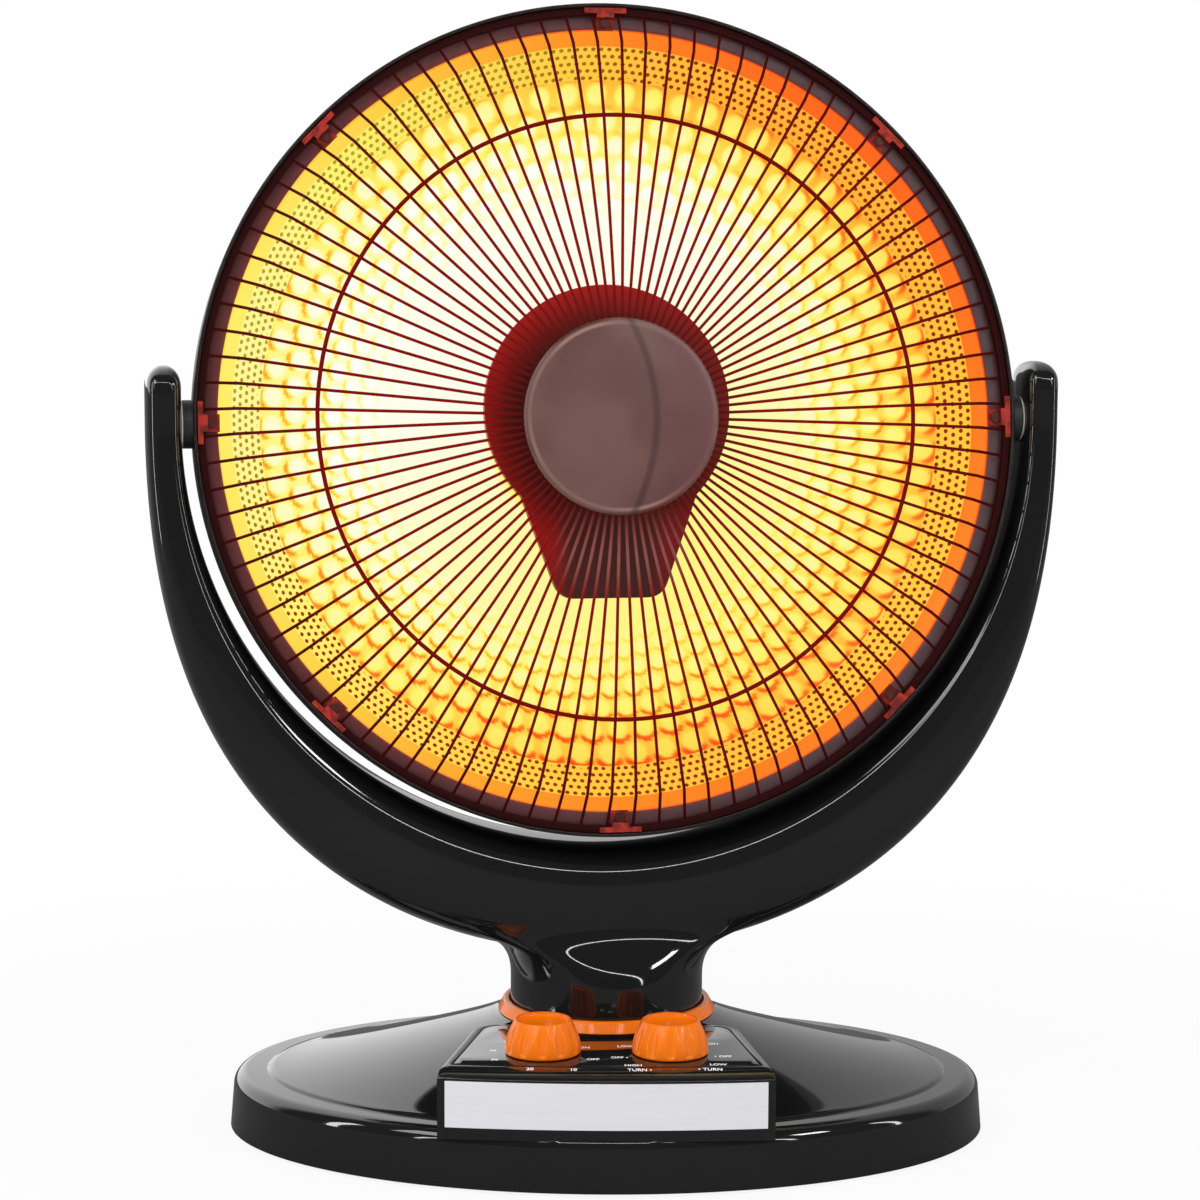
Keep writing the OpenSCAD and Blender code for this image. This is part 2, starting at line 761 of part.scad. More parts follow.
module yoke_rear() {
    color([0.05, 0.05, 0.055]) at_yoke() difference() {
        union() {
            crescent(1);
            neck(1);
        }
        yoke_cuts();
    }
}

module yoke_screws() {
    color([0.6, 0.6, 0.62]) at_yoke() for (a = screw_angles) translate(screw_place(a)) rotate([-90, 0, 0]) {
        translate([0, 0, crescent_d(a) / 2 - 4]) cylinder(r = head_r, h = 2.2);
        translate([0, 0, -8]) cylinder(r = screw_r, h = crescent_d(a) / 2 + 4.1);
    }
}

bush_r = 8.6;
bush_l = journal_l + 2;

module pivot_bush(s) {
    color([0.88, 0.87, 0.84]) at_yoke() translate([0, 0, pivot_z]) rotate([0, s * 90, 0])
        translate([0, 0, yoke_in_r + 0.4]) difference() {
            cylinder(r = bush_r, h = bush_l);
            translate([0, 0, -1]) cylinder(r = journal_r + fit, h = bush_l - 0.5);
        }
}

module pivot_bush_left() {
    pivot_bush(-1);
}

module pivot_bush_right() {
    pivot_bush(1);
}

// ---------------------------------------------------------------- head: casing

stud_r = 3;
stud_in = rear_r - rear_wall;   // the stud ends flush inside the housing

module stud_holes() {
    for (s = [-1, 1]) rotate([0, s * 90, 0]) translate([0, 0, stud_in - 0.6])
        cylinder(r = stud_r + fit, h = 30);
}

module clip_screw_holes() {
    for (k = [0:clips - 1]) rotate([0, 0, k * 360 / clips]) translate([clip_screw_r, 0, -9])
        cylinder(r = clip_shaft_r + fit, h = 30, $fn = 32);
}

// Stepped front ring: skirt, outer lip and the ledge that the grille sits on
module front_rim() {
    wall_in = rim_r - rim_wall;
    color([0.2, 0.08, 0.07]) at_dish() difference() {
        rotate_extrude() polygon([
            [rim_r, skirt_back],
            [rim_r, ledge_top + 3.4],
            [rim_r - 0.6, ledge_top + 4.4],
            [wall_in, ledge_top + 4.4],
            [wall_in, ledge_top],
            [mirror_r + 1.4, ledge_top],
            [mirror_r + 0.8, ledge_top - 0.5],
            [mirror_r + 0.8, ledge_top - ledge_t],
            [wall_in, ledge_top - ledge_t],
            [wall_in, skirt_back]
        ]);
        stud_holes();
        clip_screw_holes();
    }
}

function mirror_w(r) = mirror_edge - mirror_depth * (1 - pow(r / mirror_r, 2));

mirror_n = 22;
mirror_steps = [for (i = [0:mirror_n]) 5 + (mirror_r - 5) * i / mirror_n];

module reflector() {
    color([0.95, 0.75, 0.4]) at_dish() difference() {
        rotate_extrude() polygon(concat(
            [for (r = mirror_steps) [r, mirror_w(r)]],
            [[mirror_r + 5.5, mirror_edge], [mirror_r + 5.5, mirror_edge - mirror_t]],
            [for (i = [mirror_n:-1:0]) [mirror_steps[i], mirror_w(mirror_steps[i]) - mirror_t]]));
        clip_screw_holes();
        for (s = [-1, 1]) {
            translate([s * stay_x, shield_rise, -mirror_depth]) cylinder(r = 1.6, h = 12);
            translate([s * tube_leg_x, holder_top - holder_len / 2, -mirror_depth])
                cylinder(r = 2.6, h = 30);
        }
    }
}

function rear_point(a, t) = [60 + (rear_r - 60 - t) * cos(a), -26 - (rear_depth - 26 - t) * sin(a)];

rear_steps = [0, 12, 24, 36, 48, 60, 74, 90];

// Bowl behind the reflector, with cooling slots, screw bosses and a grip lip on top
module rear_housing() {
    color([0.06, 0.06, 0.06]) at_dish() difference() {
        union() {
            rotate_extrude() polygon(concat(
                [[rear_r, rear_top]],
                [for (a = rear_steps) rear_point(a, 0)],
                [[8, -rear_depth], [8, rear_wall - rear_depth]],
                [for (i = [len(rear_steps) - 1:-1:0]) rear_point(rear_steps[i], rear_wall)],
                [[rear_r - rear_wall, rear_top]]));
            for (k = [0:clips - 1]) rotate([0, 0, k * 360 / clips]) translate([clip_screw_r, 0, -12]) {
                cylinder(r = 3.3, h = rear_top + 11.7, $fn = 32);
                translate([0, -2.5, 0]) cube([rear_r - 1 - clip_screw_r, 5, rear_top + 11.7]);
            }
            rotate([0, 0, 90 - grip_half_angle]) rotate_extrude(angle = 2 * grip_half_angle)
                translate([rear_r - 1, -24]) square([rim_r + 2.2 - rear_r + 1, 14]);
        }
        clip_screw_holes();
        stud_holes();
        for (k = [0:vents - 1]) rotate([0, 0, (k + 0.5) * 360 / vents])
            translate([78, -2.5, -rear_depth - 5]) cube([50, 5, 40]);
    }
}

grip_half_angle = 9.2;

module rear_cap() {
    color([0.05, 0.05, 0.05]) at_dish() rotate_extrude() polygon([
        [0, -rear_depth - seat],
        [48, -rear_depth - seat],
        [47.4, -rear_depth - 4],
        [44, -rear_depth - 7],
        [0, -rear_depth - 7.5]
    ]);
}

// Stud through rim and housing, round boss shaped to the rim, and the journal
module pivot_pin(s) {
    face = yoke_in_r - 0.55;
    color([0.12, 0.1, 0.1]) at_head() rotate([0, s * 90, 0]) {
        difference() {
            translate([0, 0, rim_r - 2]) cylinder(r = boss_r, h = face - rim_r + 2);
            rotate([90, 0, 0]) cylinder(r = rim_r + 0.03, h = 60, center = true, $fn = 180);
        }
        translate([0, 0, stud_in + 0.1]) cylinder(r = stud_r, h = rim_r + 1 - stud_in);
        translate([0, 0, face - 1]) cylinder(r = journal_r, h = journal_l + 1);
    }
}

module pivot_pin_left() {
    pivot_pin(-1);
}

module pivot_pin_right() {
    pivot_pin(1);
}

module tilt_washers() {
    color([0.85, 0.85, 0.82]) at_head() for (s = [-1, 1]) rotate([0, s * 90, 0])
        translate([0, 0, yoke_in_r - 0.5]) difference() {
            cylinder(r = boss_r - 0.4, h = 0.6);
            translate([0, 0, -1]) cylinder(r = journal_r + 0.2, h = 5);
        }
}

// ---------------------------------------------------------------- head: grille

function seg_angle(p, q) = atan2(q[1] - p[1], q[0] - p[0]);

// One bent wire in the plane of X and Z, with a bead at each bend
module bent_wire() {
    for (i = [0:len(wire_path) - 2]) {
        p = wire_path[i];
        q = wire_path[i + 1];
        translate([p[0], 0, p[1]]) rotate([0, 90 - seg_angle(p, q), 0]) cylinder(r = wire_r, h = norm(q - p));
    }
    for (i = [1:len(wire_path) - 2])
        translate([wire_path[i][0], 0, wire_path[i][1]]) sphere(r = 1.1 * wire_r);
}

// All wires welded to the hub disc and to the outer band
module grille_wires() {
    color([0.35, 0.05, 0.04]) at_dish() {
        for (k = [0:wires - 1]) rotate([0, 0, (k + 0.5) * 360 / wires]) bent_wire();
        translate([0, 0, hub_disc_z]) cylinder(r = hub_disc_r, h = hub_disc_t);
        rotate_extrude() translate([band_in_r, band_z]) square([band_out_r - band_in_r, band_h]);
    }
}

module grille_ring() {
    color([0.35, 0.05, 0.04]) at_dish() rotate_extrude()
        translate([ring_r, wire_path[1][1] + 1.1 * wire_r + ring_wire_r + seat]) circle(r = ring_wire_r, $fn = 32);
}

module centre_cap() {
    z = hub_disc_z + hub_disc_t + seat;
    color([0.5, 0.3, 0.28]) at_dish() rotate_extrude() polygon([
        [0, z],
        [cap_r - 1.6, z],
        [cap_r - 1.5, z - 0.6],
        [cap_r, z - 0.6],
        [cap_r, z + 1.3],
        [cap_r - 0.8, z + 2],
        [cap_r - 3, z + 2.1],
        [0.7 * cap_r, z + 2.9],
        [0.35 * cap_r, z + 3.4],
        [0, z + 3.5]
    ]);
}

bar_z = band_z + band_h + 0.15;
bar_t = 1.25;

// T-shaped clip: screwed stem on the ledge, riser, and a bar over the grille's band
module grille_clip() {
    stem_half = 3.7;
    bar_in = band_in_r + 0.5;
    bar_out = band_out_r - 0.2;
    difference() {
        union() {
            translate([clip_screw_r - 3, -stem_half, ledge_top + seat])
                cube([clip_riser_r + 0.8 - clip_screw_r + 3, 2 * stem_half, bar_t]);
            translate([clip_riser_r, -stem_half, ledge_top + seat])
                cube([0.8, 2 * stem_half, bar_z + bar_t - ledge_top - seat]);
            translate([clip_riser_r, -stem_half, bar_z])
                cube([bar_out - clip_riser_r, 2 * stem_half, bar_t]);
            translate([bar_in, -9, bar_z]) cube([bar_out - bar_in, 18, bar_t]);
        }
        translate([clip_screw_r, 0, 0]) cylinder(r = clip_shaft_r + fit, h = 20, $fn = 32);
    }
}

module grille_clips() {
    color([0.75, 0.2, 0.12]) at_dish() for (k = [0:clips - 1]) rotate([0, 0, k * 360 / clips]) grille_clip();
}

module clip_screws() {
    top = ledge_top + 2 * seat + bar_t;
    color([0.25, 0.1, 0.1]) at_dish() for (k = [0:clips - 1]) rotate([0, 0, k * 360 / clips])
        translate([clip_screw_r, 0, 0]) {
            translate([0, 0, top]) cylinder(r = 2, h = 1.5, $fn = 32);
            translate([0, 0, -7]) cylinder(r = clip_shaft_r, h = top + 7.5, $fn = 32);
        }
}

// ---------------------------------------------------------------- head: heating element

// Keyhole outline: a disc with a tapering neck that ends in a rounded flat foot
module keyhole(inset) {
    translate([0, shield_rise]) circle(r = shield_r - inset);
    polygon(rounded([
        [0.56 * shield_r, -20, 0],
        [0.715 * shield_r - inset, -32, 0],
        [0.42 * shield_r - inset, inset - shield_foot, 9 - inset],
        [inset - 0.42 * shield_r, inset - shield_foot, 9 - inset],
        [inset - 0.715 * shield_r, -32, 0],
        [-0.56 * shield_r, -20, 0]
    ]));
}

module heat_shield() {
    color([0.55, 0.04, 0.03]) at_dish() {
        translate([0, 0, shield_z]) linear_extrude(shield_t) keyhole(0);
        translate([0, 0, shield_z - shield_lip]) linear_extrude(shield_lip) difference() {
            keyhole(0);
            keyhole(shield_t);
        }
    }
}

stay_x = 14;

module shield_stays() {
    foot = mirror_w(stay_x + 3) + 0.4;
    color([0.7, 0.7, 0.7]) at_dish() for (s = [-1, 1]) translate([s * stay_x, shield_rise, 0]) {
        translate([0, 0, foot]) cylinder(r = 2.5, h = shield_z - seat - foot);
        translate([0, 0, foot - 3.5]) cylinder(r = 1.5, h = 5);
    }
}

// Omega path shared by the tube and the filament, as stations [x, y, heading]:
// up the left leg, out along a bend, round the ring, and back to the right leg
function omega(leg_end) =
    let (a = tube_gap_half, reach = tube_ring_r + bend_r, hub = [reach * cos(a), shield_rise - reach * sin(a)])
    concat(
        [[-tube_leg_x, leg_end, 90]],
        [for (t = [0:12:a]) [bend_r * cos(t) - hub[0], hub[1] + bend_r * sin(t), 90 + t]],
        [for (t = [170 + a:-10:10 - a])
            [tube_ring_r * cos(t), shield_rise + tube_ring_r * sin(t), t - 90]],
        [for (t = [180 - a:12:180]) [hub[0] + bend_r * cos(t), hub[1] + bend_r * sin(t), t - 270]],
        [[tube_leg_x, leg_end, -90]]);

// Ring of points square to each station
function sleeve(path, r, sides) = [for (p = path) [for (j = [0:sides - 1])
    let (c = r * cos(360 * j / sides), s = r * sin(360 * j / sides))
    [p[0] - c * sin(p[2]), p[1] + c * cos(p[2]), tube_z + s]]];

module quartz_tube() {
    path = omega(holder_top - bore_depth + 0.5);
    outer = sleeve(path, tube_r, 14);
    bore = sleeve(path, tube_r - tube_wall, 14);
    color([0.95, 0.9, 0.85]) at_dish()
        loft(concat(outer, [for (i = [len(bore) - 1:-1:0]) bore[i]]), ring_closes = true);
}

module filament() {
    color([1, 0.5, 0.1]) at_dish() loft(sleeve(omega(holder_top - bore_depth + 0.2), 1.6, 8));
}

// Ceramic blocks that hold the tube's ends
module tube_holders() {
    color([0.93, 0.92, 0.9]) at_dish() for (s = [-1, 1]) translate([s * tube_leg_x, holder_top, tube_z]) difference() {
        translate([-holder_half, -holder_len, -holder_half]) cube([2 * holder_half, holder_len, 2 * holder_half]);
        translate([0, 1, 0]) rotate([90, 0, 0]) cylinder(r = tube_r + fit, h = bore_depth + 1);
    }
}

// Posts from the reflector to the holders, and one to the top of the tube's ring
module tube_posts() {
    y = holder_top - holder_len / 2;
    low = mirror_w(norm([tube_leg_x + 3.5, y - 3.5])) + 0.3;
    top_y = shield_rise + tube_ring_r;
    top_low = mirror_w(top_y + 2.5) + 0.3;
    color([0.8, 0.8, 0.78]) at_dish() {
        for (s = [-1, 1]) translate([s * tube_leg_x, y, 0]) {
            translate([0, 0, low]) cylinder(r = 3.5, h = tube_z - holder_half - seat - low);
            translate([0, 0, low - 8]) cylinder(r = 2.5, h = 9);
        }
        translate([0, top_y, top_low]) cylinder(r = 2.5, h = tube_z - tube_r - seat - top_low);
    }
}

// ---------------------------------------------------------------- nodes

base_shell();
base_bottom();
base_feet();
base_screws();
console_housing();
console_panel();
front_plate();
collar_ring();
hub_bearing();
timer_body();
selector_body();
drive_motor();
tip_switch();
terminal_block();
cord_gland();
tip_plunger();
motor_crank();
timer_knob();
timer_shaft();
selector_knob();
selector_shaft();
yoke_front();
yoke_rear();
yoke_screws();
neck_plate();
neck_screws();
pivot_post();
glide_washer();
post_nut();
swing_arm();
pivot_bush_left();
pivot_bush_right();
front_rim();
reflector();
rear_housing();
rear_cap();
pivot_pin_left();
pivot_pin_right();
tilt_washers();
grille_wires();
grille_ring();
centre_cap();
grille_clips();
clip_screws();
heat_shield();
shield_stays();
quartz_tube();
filament();
tube_holders();
tube_posts();
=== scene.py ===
# %% [markdown]
# # A parabolic heater in a swinging yoke
# A round dish glows behind a wire grille. It tilts between the arms of a black crescent, which swings on an oval
# base with two orange knobs. The solids come from the CAD model and are the frame: every piece made here stands
# in the same place, in metres, and rides on one of the CAD bodies. Where a solid's shape and edges are right, it
# only gets a better finish. Where a glossy face would show its flat facets, a finer piece replaces it.

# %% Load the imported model
import json
import math

import bmesh
import bpy
from mathutils import Matrix, Vector


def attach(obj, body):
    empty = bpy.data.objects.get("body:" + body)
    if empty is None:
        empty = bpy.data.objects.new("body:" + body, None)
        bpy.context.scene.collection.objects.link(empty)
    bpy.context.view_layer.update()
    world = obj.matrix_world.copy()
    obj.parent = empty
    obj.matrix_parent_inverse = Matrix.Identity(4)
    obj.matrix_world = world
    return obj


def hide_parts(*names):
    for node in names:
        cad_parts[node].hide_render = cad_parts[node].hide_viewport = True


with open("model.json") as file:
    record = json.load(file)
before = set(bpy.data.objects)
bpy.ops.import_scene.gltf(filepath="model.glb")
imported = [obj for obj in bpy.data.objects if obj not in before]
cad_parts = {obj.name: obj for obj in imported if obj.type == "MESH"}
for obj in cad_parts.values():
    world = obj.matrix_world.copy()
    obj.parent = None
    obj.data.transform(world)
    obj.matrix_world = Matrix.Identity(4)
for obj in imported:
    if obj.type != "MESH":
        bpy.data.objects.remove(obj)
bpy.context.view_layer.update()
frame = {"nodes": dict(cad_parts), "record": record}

nodes = frame["nodes"]

# %% [markdown]
# The swing axis is the world's Z axis, and the front faces -Y. The yoke rests turned 10 degrees and the head leans
# back 7.7 degrees about an axis 310 mm up. Round pieces of the head are drawn in the dish's own frame, where Z is
# the dish's axis, so one matrix carries them to their place. Sizes below are in millimetres, as on a drawing.

# %% Places
MM = 0.001
pivot_z = 310.0
swing = Matrix.Rotation(math.radians(10), 4, "Z")
tilt = Matrix.Rotation(-math.radians(7.7), 4, "X")
on_base = Matrix.Scale(MM, 4)
on_yoke = swing @ on_base
on_dish = swing @ Matrix.Translation((0, 0, pivot_z * MM)) @ tilt @ Matrix.Rotation(math.pi / 2, 4, "X") @ on_base
print("dish centre", [round(v, 4) for v in on_dish.translation])

# %% [markdown]
# The photograph was taken from about 1.4 m, a little above the dish and looking slightly down. A long lens keeps
# the circles of the dish nearly round. The camera is set by these fitted values and by nothing else. Like every
# object here, it is made and put in the scene by one small helper.

# %% Camera
def stand(name, data):
    """A new object in the scene's collection."""
    made = bpy.data.objects.new(name, data)
    bpy.context.scene.collection.objects.link(made)
    return made


eye = (-0.00353, -1.3722, 0.40395)
look_down, roll = math.radians(82.88), math.radians(0.25)
lens = bpy.data.cameras.new("photo_camera")
lens.lens = 95.9
lens.sensor_width = 36
camera = stand("photo_camera", lens)
camera.matrix_world = Matrix.Translation(eye) @ Matrix.Rotation(look_down, 4, "X") @ Matrix.Rotation(roll, 4, "Z")
bpy.context.scene.camera = camera
bpy.context.scene.view_settings.view_transform = "Standard"
print("camera", [round(v, 3) for v in camera.location])

# %% [markdown]
# A finish is a recipe of shader nodes. Writing it as arithmetic keeps it readable: `Term` wraps one output socket,
# and adding or multiplying terms adds the Math nodes. Every other node comes from `node`, which takes the node's
# type, its settings, and the values or links of its sockets.

# %% Arithmetic on shader sockets
class Term:
    def __init__(self, tree, socket):
        self.tree, self.socket = tree, socket

    def math(self, operation, *others, clamp=False):
        values = dict(enumerate((self, *others)))
        return node(self.tree, "ShaderNodeMath", {"operation": operation, "use_clamp": clamp}, values)

    def __add__(self, other):
        return self.math("ADD", other)

    def __sub__(self, other):
        return self.math("SUBTRACT", other)

    def __mul__(self, other):
        return self.math("MULTIPLY", other)

    def __rsub__(self, other):
        return (self * -1) + other

    __radd__ = __add__
    __rmul__ = __mul__


def put(socket, value):
    if isinstance(value, Term):
        value.tree.links.new(value.socket, socket)
    else:
        socket.default_value = value


def node(tree, kind, settings=None, values=None, output=0):
    made = tree.nodes.new(kind)
    for key, value in (settings or {}).items():
        if key == "stops":
            ramp = made.color_ramp
            for spot, colour in value[1:-1]:
                ramp.elements.new(spot).color = colour
            for end, (spot, colour) in ((0, value[0]), (-1, value[-1])):
                ramp.elements[end].position = spot
                ramp.elements[end].color = colour
        else:
            setattr(made, key, value)
    for key, value in (values or {}).items():
        put(made.inputs[key], value)
    return Term(tree, made.outputs[output]) if made.outputs else None


def tone(red, green, blue):
    """A screen colour, 0 to 255, as the linear colour that a shader takes."""
    linear = [c / 3294.6 if c <= 10.3 else ((c / 255 + 0.055) / 1.055) ** 2.4 for c in (red, green, blue)]
    return (*linear, 1.0)


print("orange", [round(c, 3) for c in tone(246, 118, 16)])

# %% [markdown]
# Plastics and paints here share one build: a Principled surface whose colour and roughness wander a little, as
# moulded and painted parts do, with a faint bump. The wander reads Object coordinates, which are the world's
# coordinates at rest, so a scale of 20 means patches of about 50 mm.

# %% A surface with a slow wander
finishes = {}


def object_place(tree):
    return node(tree, "ShaderNodeTexCoord", output=3)


def axis(tree, vector, index):
    """One coordinate of a vector: 0 for X, 1 for Y, 2 for Z."""
    return node(tree, "ShaderNodeSeparateXYZ", None, {"Vector": vector}, index)


def spots(tree, scale, detail=2.0, stretch=None):
    place = object_place(tree)
    if stretch:
        place = node(tree, "ShaderNodeMapping", None, {"Vector": place, "Scale": stretch})
    return node(tree, "ShaderNodeTexNoise", None, {"Vector": place, "Scale": scale, "Detail": detail})


def blend(tree, share, first, second):
    values = {0: share, 6: first, 7: second}
    return node(tree, "ShaderNodeMix", {"data_type": "RGBA"}, values, 2)


def ease(tree, value, low, high, first=0.0, last=1.0):
    """A smooth step of a value: first up to low, last from high on."""
    values = {"Value": value, "From Min": low, "From Max": high, "To Min": first, "To Max": last}
    return node(tree, "ShaderNodeMapRange", {"interpolation_type": "SMOOTHSTEP"}, values)


def new_finish(name):
    material = bpy.data.materials.new(name)
    material.use_nodes = True
    material.node_tree.nodes.clear()
    finishes[name] = material
    return material.node_tree


def surface(tree, **sockets):
    """Ends a finish in a Principled surface; keys are socket names with _ for spaces."""
    values = {key.replace("_", " "): value for key, value in sockets.items()}
    skin = node(tree, "ShaderNodeBsdfPrincipled", None, values)
    node(tree, "ShaderNodeOutputMaterial", None, {"Surface": skin})


def moulded(name, colour, second, rough, wander, scale=20, bump=0.02, grain=900, **sockets):
    tree = new_finish(name)
    slow = spots(tree, scale)
    fine = spots(tree, grain)
    normal = node(tree, "ShaderNodeBump", None, {"Strength": bump, "Distance": 0.0004, "Height": fine})
    surface(
        tree,
        Base_Color=blend(tree, slow, colour, second),
        Roughness=rough + wander * (slow - 0.5),
        Normal=normal,
        **sockets,
    )


moulded("gloss_black", tone(18, 18, 19), tone(24, 24, 25), 0.06, 0.05, Coat_Weight=0.6, Coat_Roughness=0.02)
moulded("console_black", tone(20, 20, 21), tone(27, 27, 28), 0.1, 0.06, Coat_Weight=0.4, Coat_Roughness=0.03)
moulded("panel_black", tone(26, 26, 28), tone(32, 32, 34), 0.05, 0.03, bump=0.006, Coat_Weight=0.5)
moulded("orange_plastic", tone(255, 128, 0), tone(250, 115, 0), 0.24, 0.06, scale=60, Coat_Weight=0.2,
        Coat_Roughness=0.05, Specular_IOR_Level=0.2)
moulded("satin_black", tone(24, 24, 25), tone(32, 32, 33), 0.38, 0.12, bump=0.15, grain=1400)
moulded("dark_plastic", tone(38, 36, 36), tone(47, 45, 45), 0.5, 0.1, bump=0.15)
moulded("foot_rubber", tone(30, 30, 30), tone(42, 42, 41), 0.8, 0.12, bump=0.4)
moulded("acetal", tone(228, 225, 214), tone(238, 236, 228), 0.4, 0.1)
moulded("ceramic", tone(240, 236, 226), tone(228, 222, 210), 0.6, 0.15, bump=0.3)
print(len(finishes), "moulded finishes")

# %% [markdown]
# Sheet metal and screws are metallic. Zinc-plated sheet has a spangle of flat crystals, which a Voronoi texture
# gives, and the bare front plate is brushed sideways, so its noise is squeezed along X into long streaks.

# %% Bare metals
tree = new_finish("zinc_steel")
crystals = node(tree, "ShaderNodeTexVoronoi", None, {"Vector": object_place(tree), "Scale": 160.0}, 1)
spangle = node(tree, "ShaderNodeRGBToBW", None, {"Color": crystals})
surface(
    tree,
    Base_Color=blend(tree, spangle, tone(188, 190, 193), tone(206, 208, 211)),
    Metallic=1.0,
    Roughness=0.28 + 0.16 * spangle,
)

tree = new_finish("screw_steel")
worn = spots(tree, 400)
surface(
    tree,
    Base_Color=blend(tree, worn, tone(150, 150, 152), tone(178, 178, 181)),
    Metallic=1.0,
    Roughness=0.3 + 0.2 * worn,
)

tree = new_finish("warm_screw")
worn = spots(tree, 500)
surface(
    tree,
    Base_Color=blend(tree, worn, tone(104, 52, 44), tone(70, 30, 26)),
    Metallic=0.4,
    Roughness=0.4 + 0.2 * worn,
)

tree = new_finish("plate_silver")
streaks = spots(tree, 300, 3.0, stretch=(0.06, 1, 4))
brushed = node(tree, "ShaderNodeBump", None, {"Strength": 0.08, "Distance": 0.0002, "Height": streaks})
surface(
    tree,
    Base_Color=blend(tree, streaks, tone(226, 226, 232), tone(238, 238, 243)),
    Metallic=0.1,
    Roughness=0.34 + 0.12 * streaks,
    Normal=brushed,
)
print("metals", [name for name in finishes if "steel" in name or "silver" in name])

# %% [markdown]
# The head's painted parts carry painted glow: their colour follows the distance from the dish's axis and stands in
# for the glow's light on them. A Mapping node of type Texture undoes the head's place, so that its X and Y lie in
# the plane of the dish. The length of that pair is the radius in millimetres, and a colour ramp turns radius into
# paint.

# %% Radius on the dish
def dish_radius(tree):
    """Radius from the dish's axis, distance to the right of it, and distance above it, in millimetres."""
    place = on_dish.decompose()
    settings = {"vector_type": "TEXTURE"}
    values = {
        "Vector": object_place(tree),
        "Location": place[0],
        "Rotation": place[1].to_euler("XYZ"),
        "Scale": place[2],
    }
    local = node(tree, "ShaderNodeMapping", settings, values)
    x, y = axis(tree, local, 0), axis(tree, local, 1)
    return (x * x + y * y).math("POWER", 0.5), x, y


def by_radius(tree, radius, full, stops):
    """A colour ramp over the radius, with its stops in millimetres."""
    spread = [(spot / full, colour) for spot, colour in stops]
    return node(tree, "ShaderNodeValToRGB", {"stops": spread}, {"Fac": radius * (1 / full)})


tree = new_finish("rim_paint")
radius, across, up = dish_radius(tree)
# Painted glow: the red of the ledge near the bowl is the glow's light painted on, stronger on the lit left side
# than on the dim right.
lit_side = by_radius(tree, radius, 200, [
    (165, tone(170, 34, 22)), (168, tone(122, 46, 46)), (172.4, tone(104, 44, 44)),
    (173.4, tone(52, 12, 10)), (176, tone(34, 7, 6)), (177, tone(16, 8, 8)),
])
dim_side = by_radius(tree, radius, 200, [
    (165, tone(120, 50, 44)), (168, tone(98, 72, 76)), (172.4, tone(88, 60, 64)),
    (173.4, tone(50, 14, 13)), (176, tone(32, 7, 7)), (177, tone(16, 8, 8)),
])
mottle = spots(tree, 120)
paint = blend(tree, ease(tree, across, -150, 130), lit_side, dim_side)
surface(
    tree,
    Base_Color=blend(tree, 0.25 * mottle, paint, tone(60, 20, 16)),
    Roughness=0.36 + 0.14 * mottle,
)

tree = new_finish("grille_paint")
radius, across, up = dish_radius(tree)
# Painted glow: the wires are painted red where the glow lights them, and they emit that colour too.
wire_painted_light = by_radius(tree, radius, 200, [
    (44, tone(78, 12, 10)), (60, tone(118, 4, 2)), (110, tone(112, 3, 1)), (150, tone(88, 2, 1)),
    (168, tone(58, 5, 4)), (176, tone(28, 7, 7)),
])
# Painted highlight: the wires low over the shield's foot are painted lighter, for light from above caught on them.
low = ease(tree, up, -62, -36, 1.0, 0.0) * ease(tree, across.math("ABSOLUTE"), 20, 32, 1.0, 0.0)
low = low * ease(tree, radius, 60, 80, 1.0, 0.0)
wire_painted_light = blend(tree, low, wire_painted_light, tone(116, 72, 68))
mottle = spots(tree, 260)
surface(
    tree,
    Base_Color=blend(tree, 0.3 * mottle, wire_painted_light, tone(46, 4, 2)),
    Roughness=0.5 + 0.12 * mottle,
    Specular_IOR_Level=0.06,
    Emission_Color=wire_painted_light,
    Emission_Strength=0.45,
)
print("painted finishes follow the dish's radius")

# %% [markdown]
# The clips are mottled red plastic. The cap is brown paint with a painted highlight on a bead near its edge,
# darker past it, painted clouds of soft reflection, and one dark bowed streak, a painted reflection of the room
# with its right side redder. The shield is painted with the glow's red light, strongest near its edge, browner to
# the right as painted shade, and with a painted brown reflection over its foot. These too are masks of smooth
# steps over the dish's own coordinates.

# %% Clips, cap and shield
tree = new_finish("clip_paint")
mottle = spots(tree, 240)
surface(
    tree,
    Base_Color=blend(tree, ease(tree, mottle, 0.35, 0.65), tone(178, 44, 28), tone(112, 24, 16)),
    Roughness=0.4 + 0.15 * mottle,
    Specular_IOR_Level=0.3,
)

tree = new_finish("cap_brown")
radius, across, up = dish_radius(tree)
# Painted highlight: the light bead at 39.4 mm stands for light on the cap's rounded edge; past it the ramp darkens
# to the edge.
edge = by_radius(tree, radius, 50, [
    (0, tone(98, 66, 62)), (28, tone(102, 68, 64)), (38.2, tone(96, 62, 58)), (39.4, tone(166, 124, 114)),
    (40.6, tone(80, 38, 34)), (42, tone(50, 20, 16)),
])
# Painted reflection: a dark bowed streak mirrored from the room, redder to its right, and lighter clouds.
ridge = across + 0.0062 * up * up
painted_streak_reflection = ease(tree, (ridge - 14.5).math("ABSOLUTE"), 0.4, 2.6, 0.55, 0.0)
painted_reflection_red_side = ease(tree, ridge, 15, 34, 0.0, 0.65)
painted_soft_reflections = ease(tree, spots(tree, 34, 1.0), 0.35, 0.65, 0.0, 0.7)
face = blend(tree, painted_reflection_red_side, blend(tree, painted_soft_reflections, edge, tone(116, 84, 78)), tone(98, 48, 50))
surface(
    tree,
    Base_Color=blend(tree, painted_streak_reflection, face, tone(58, 28, 26)),
    Roughness=0.34 + 0.1 * spots(tree, 80),
    Coat_Weight=0.2,
)

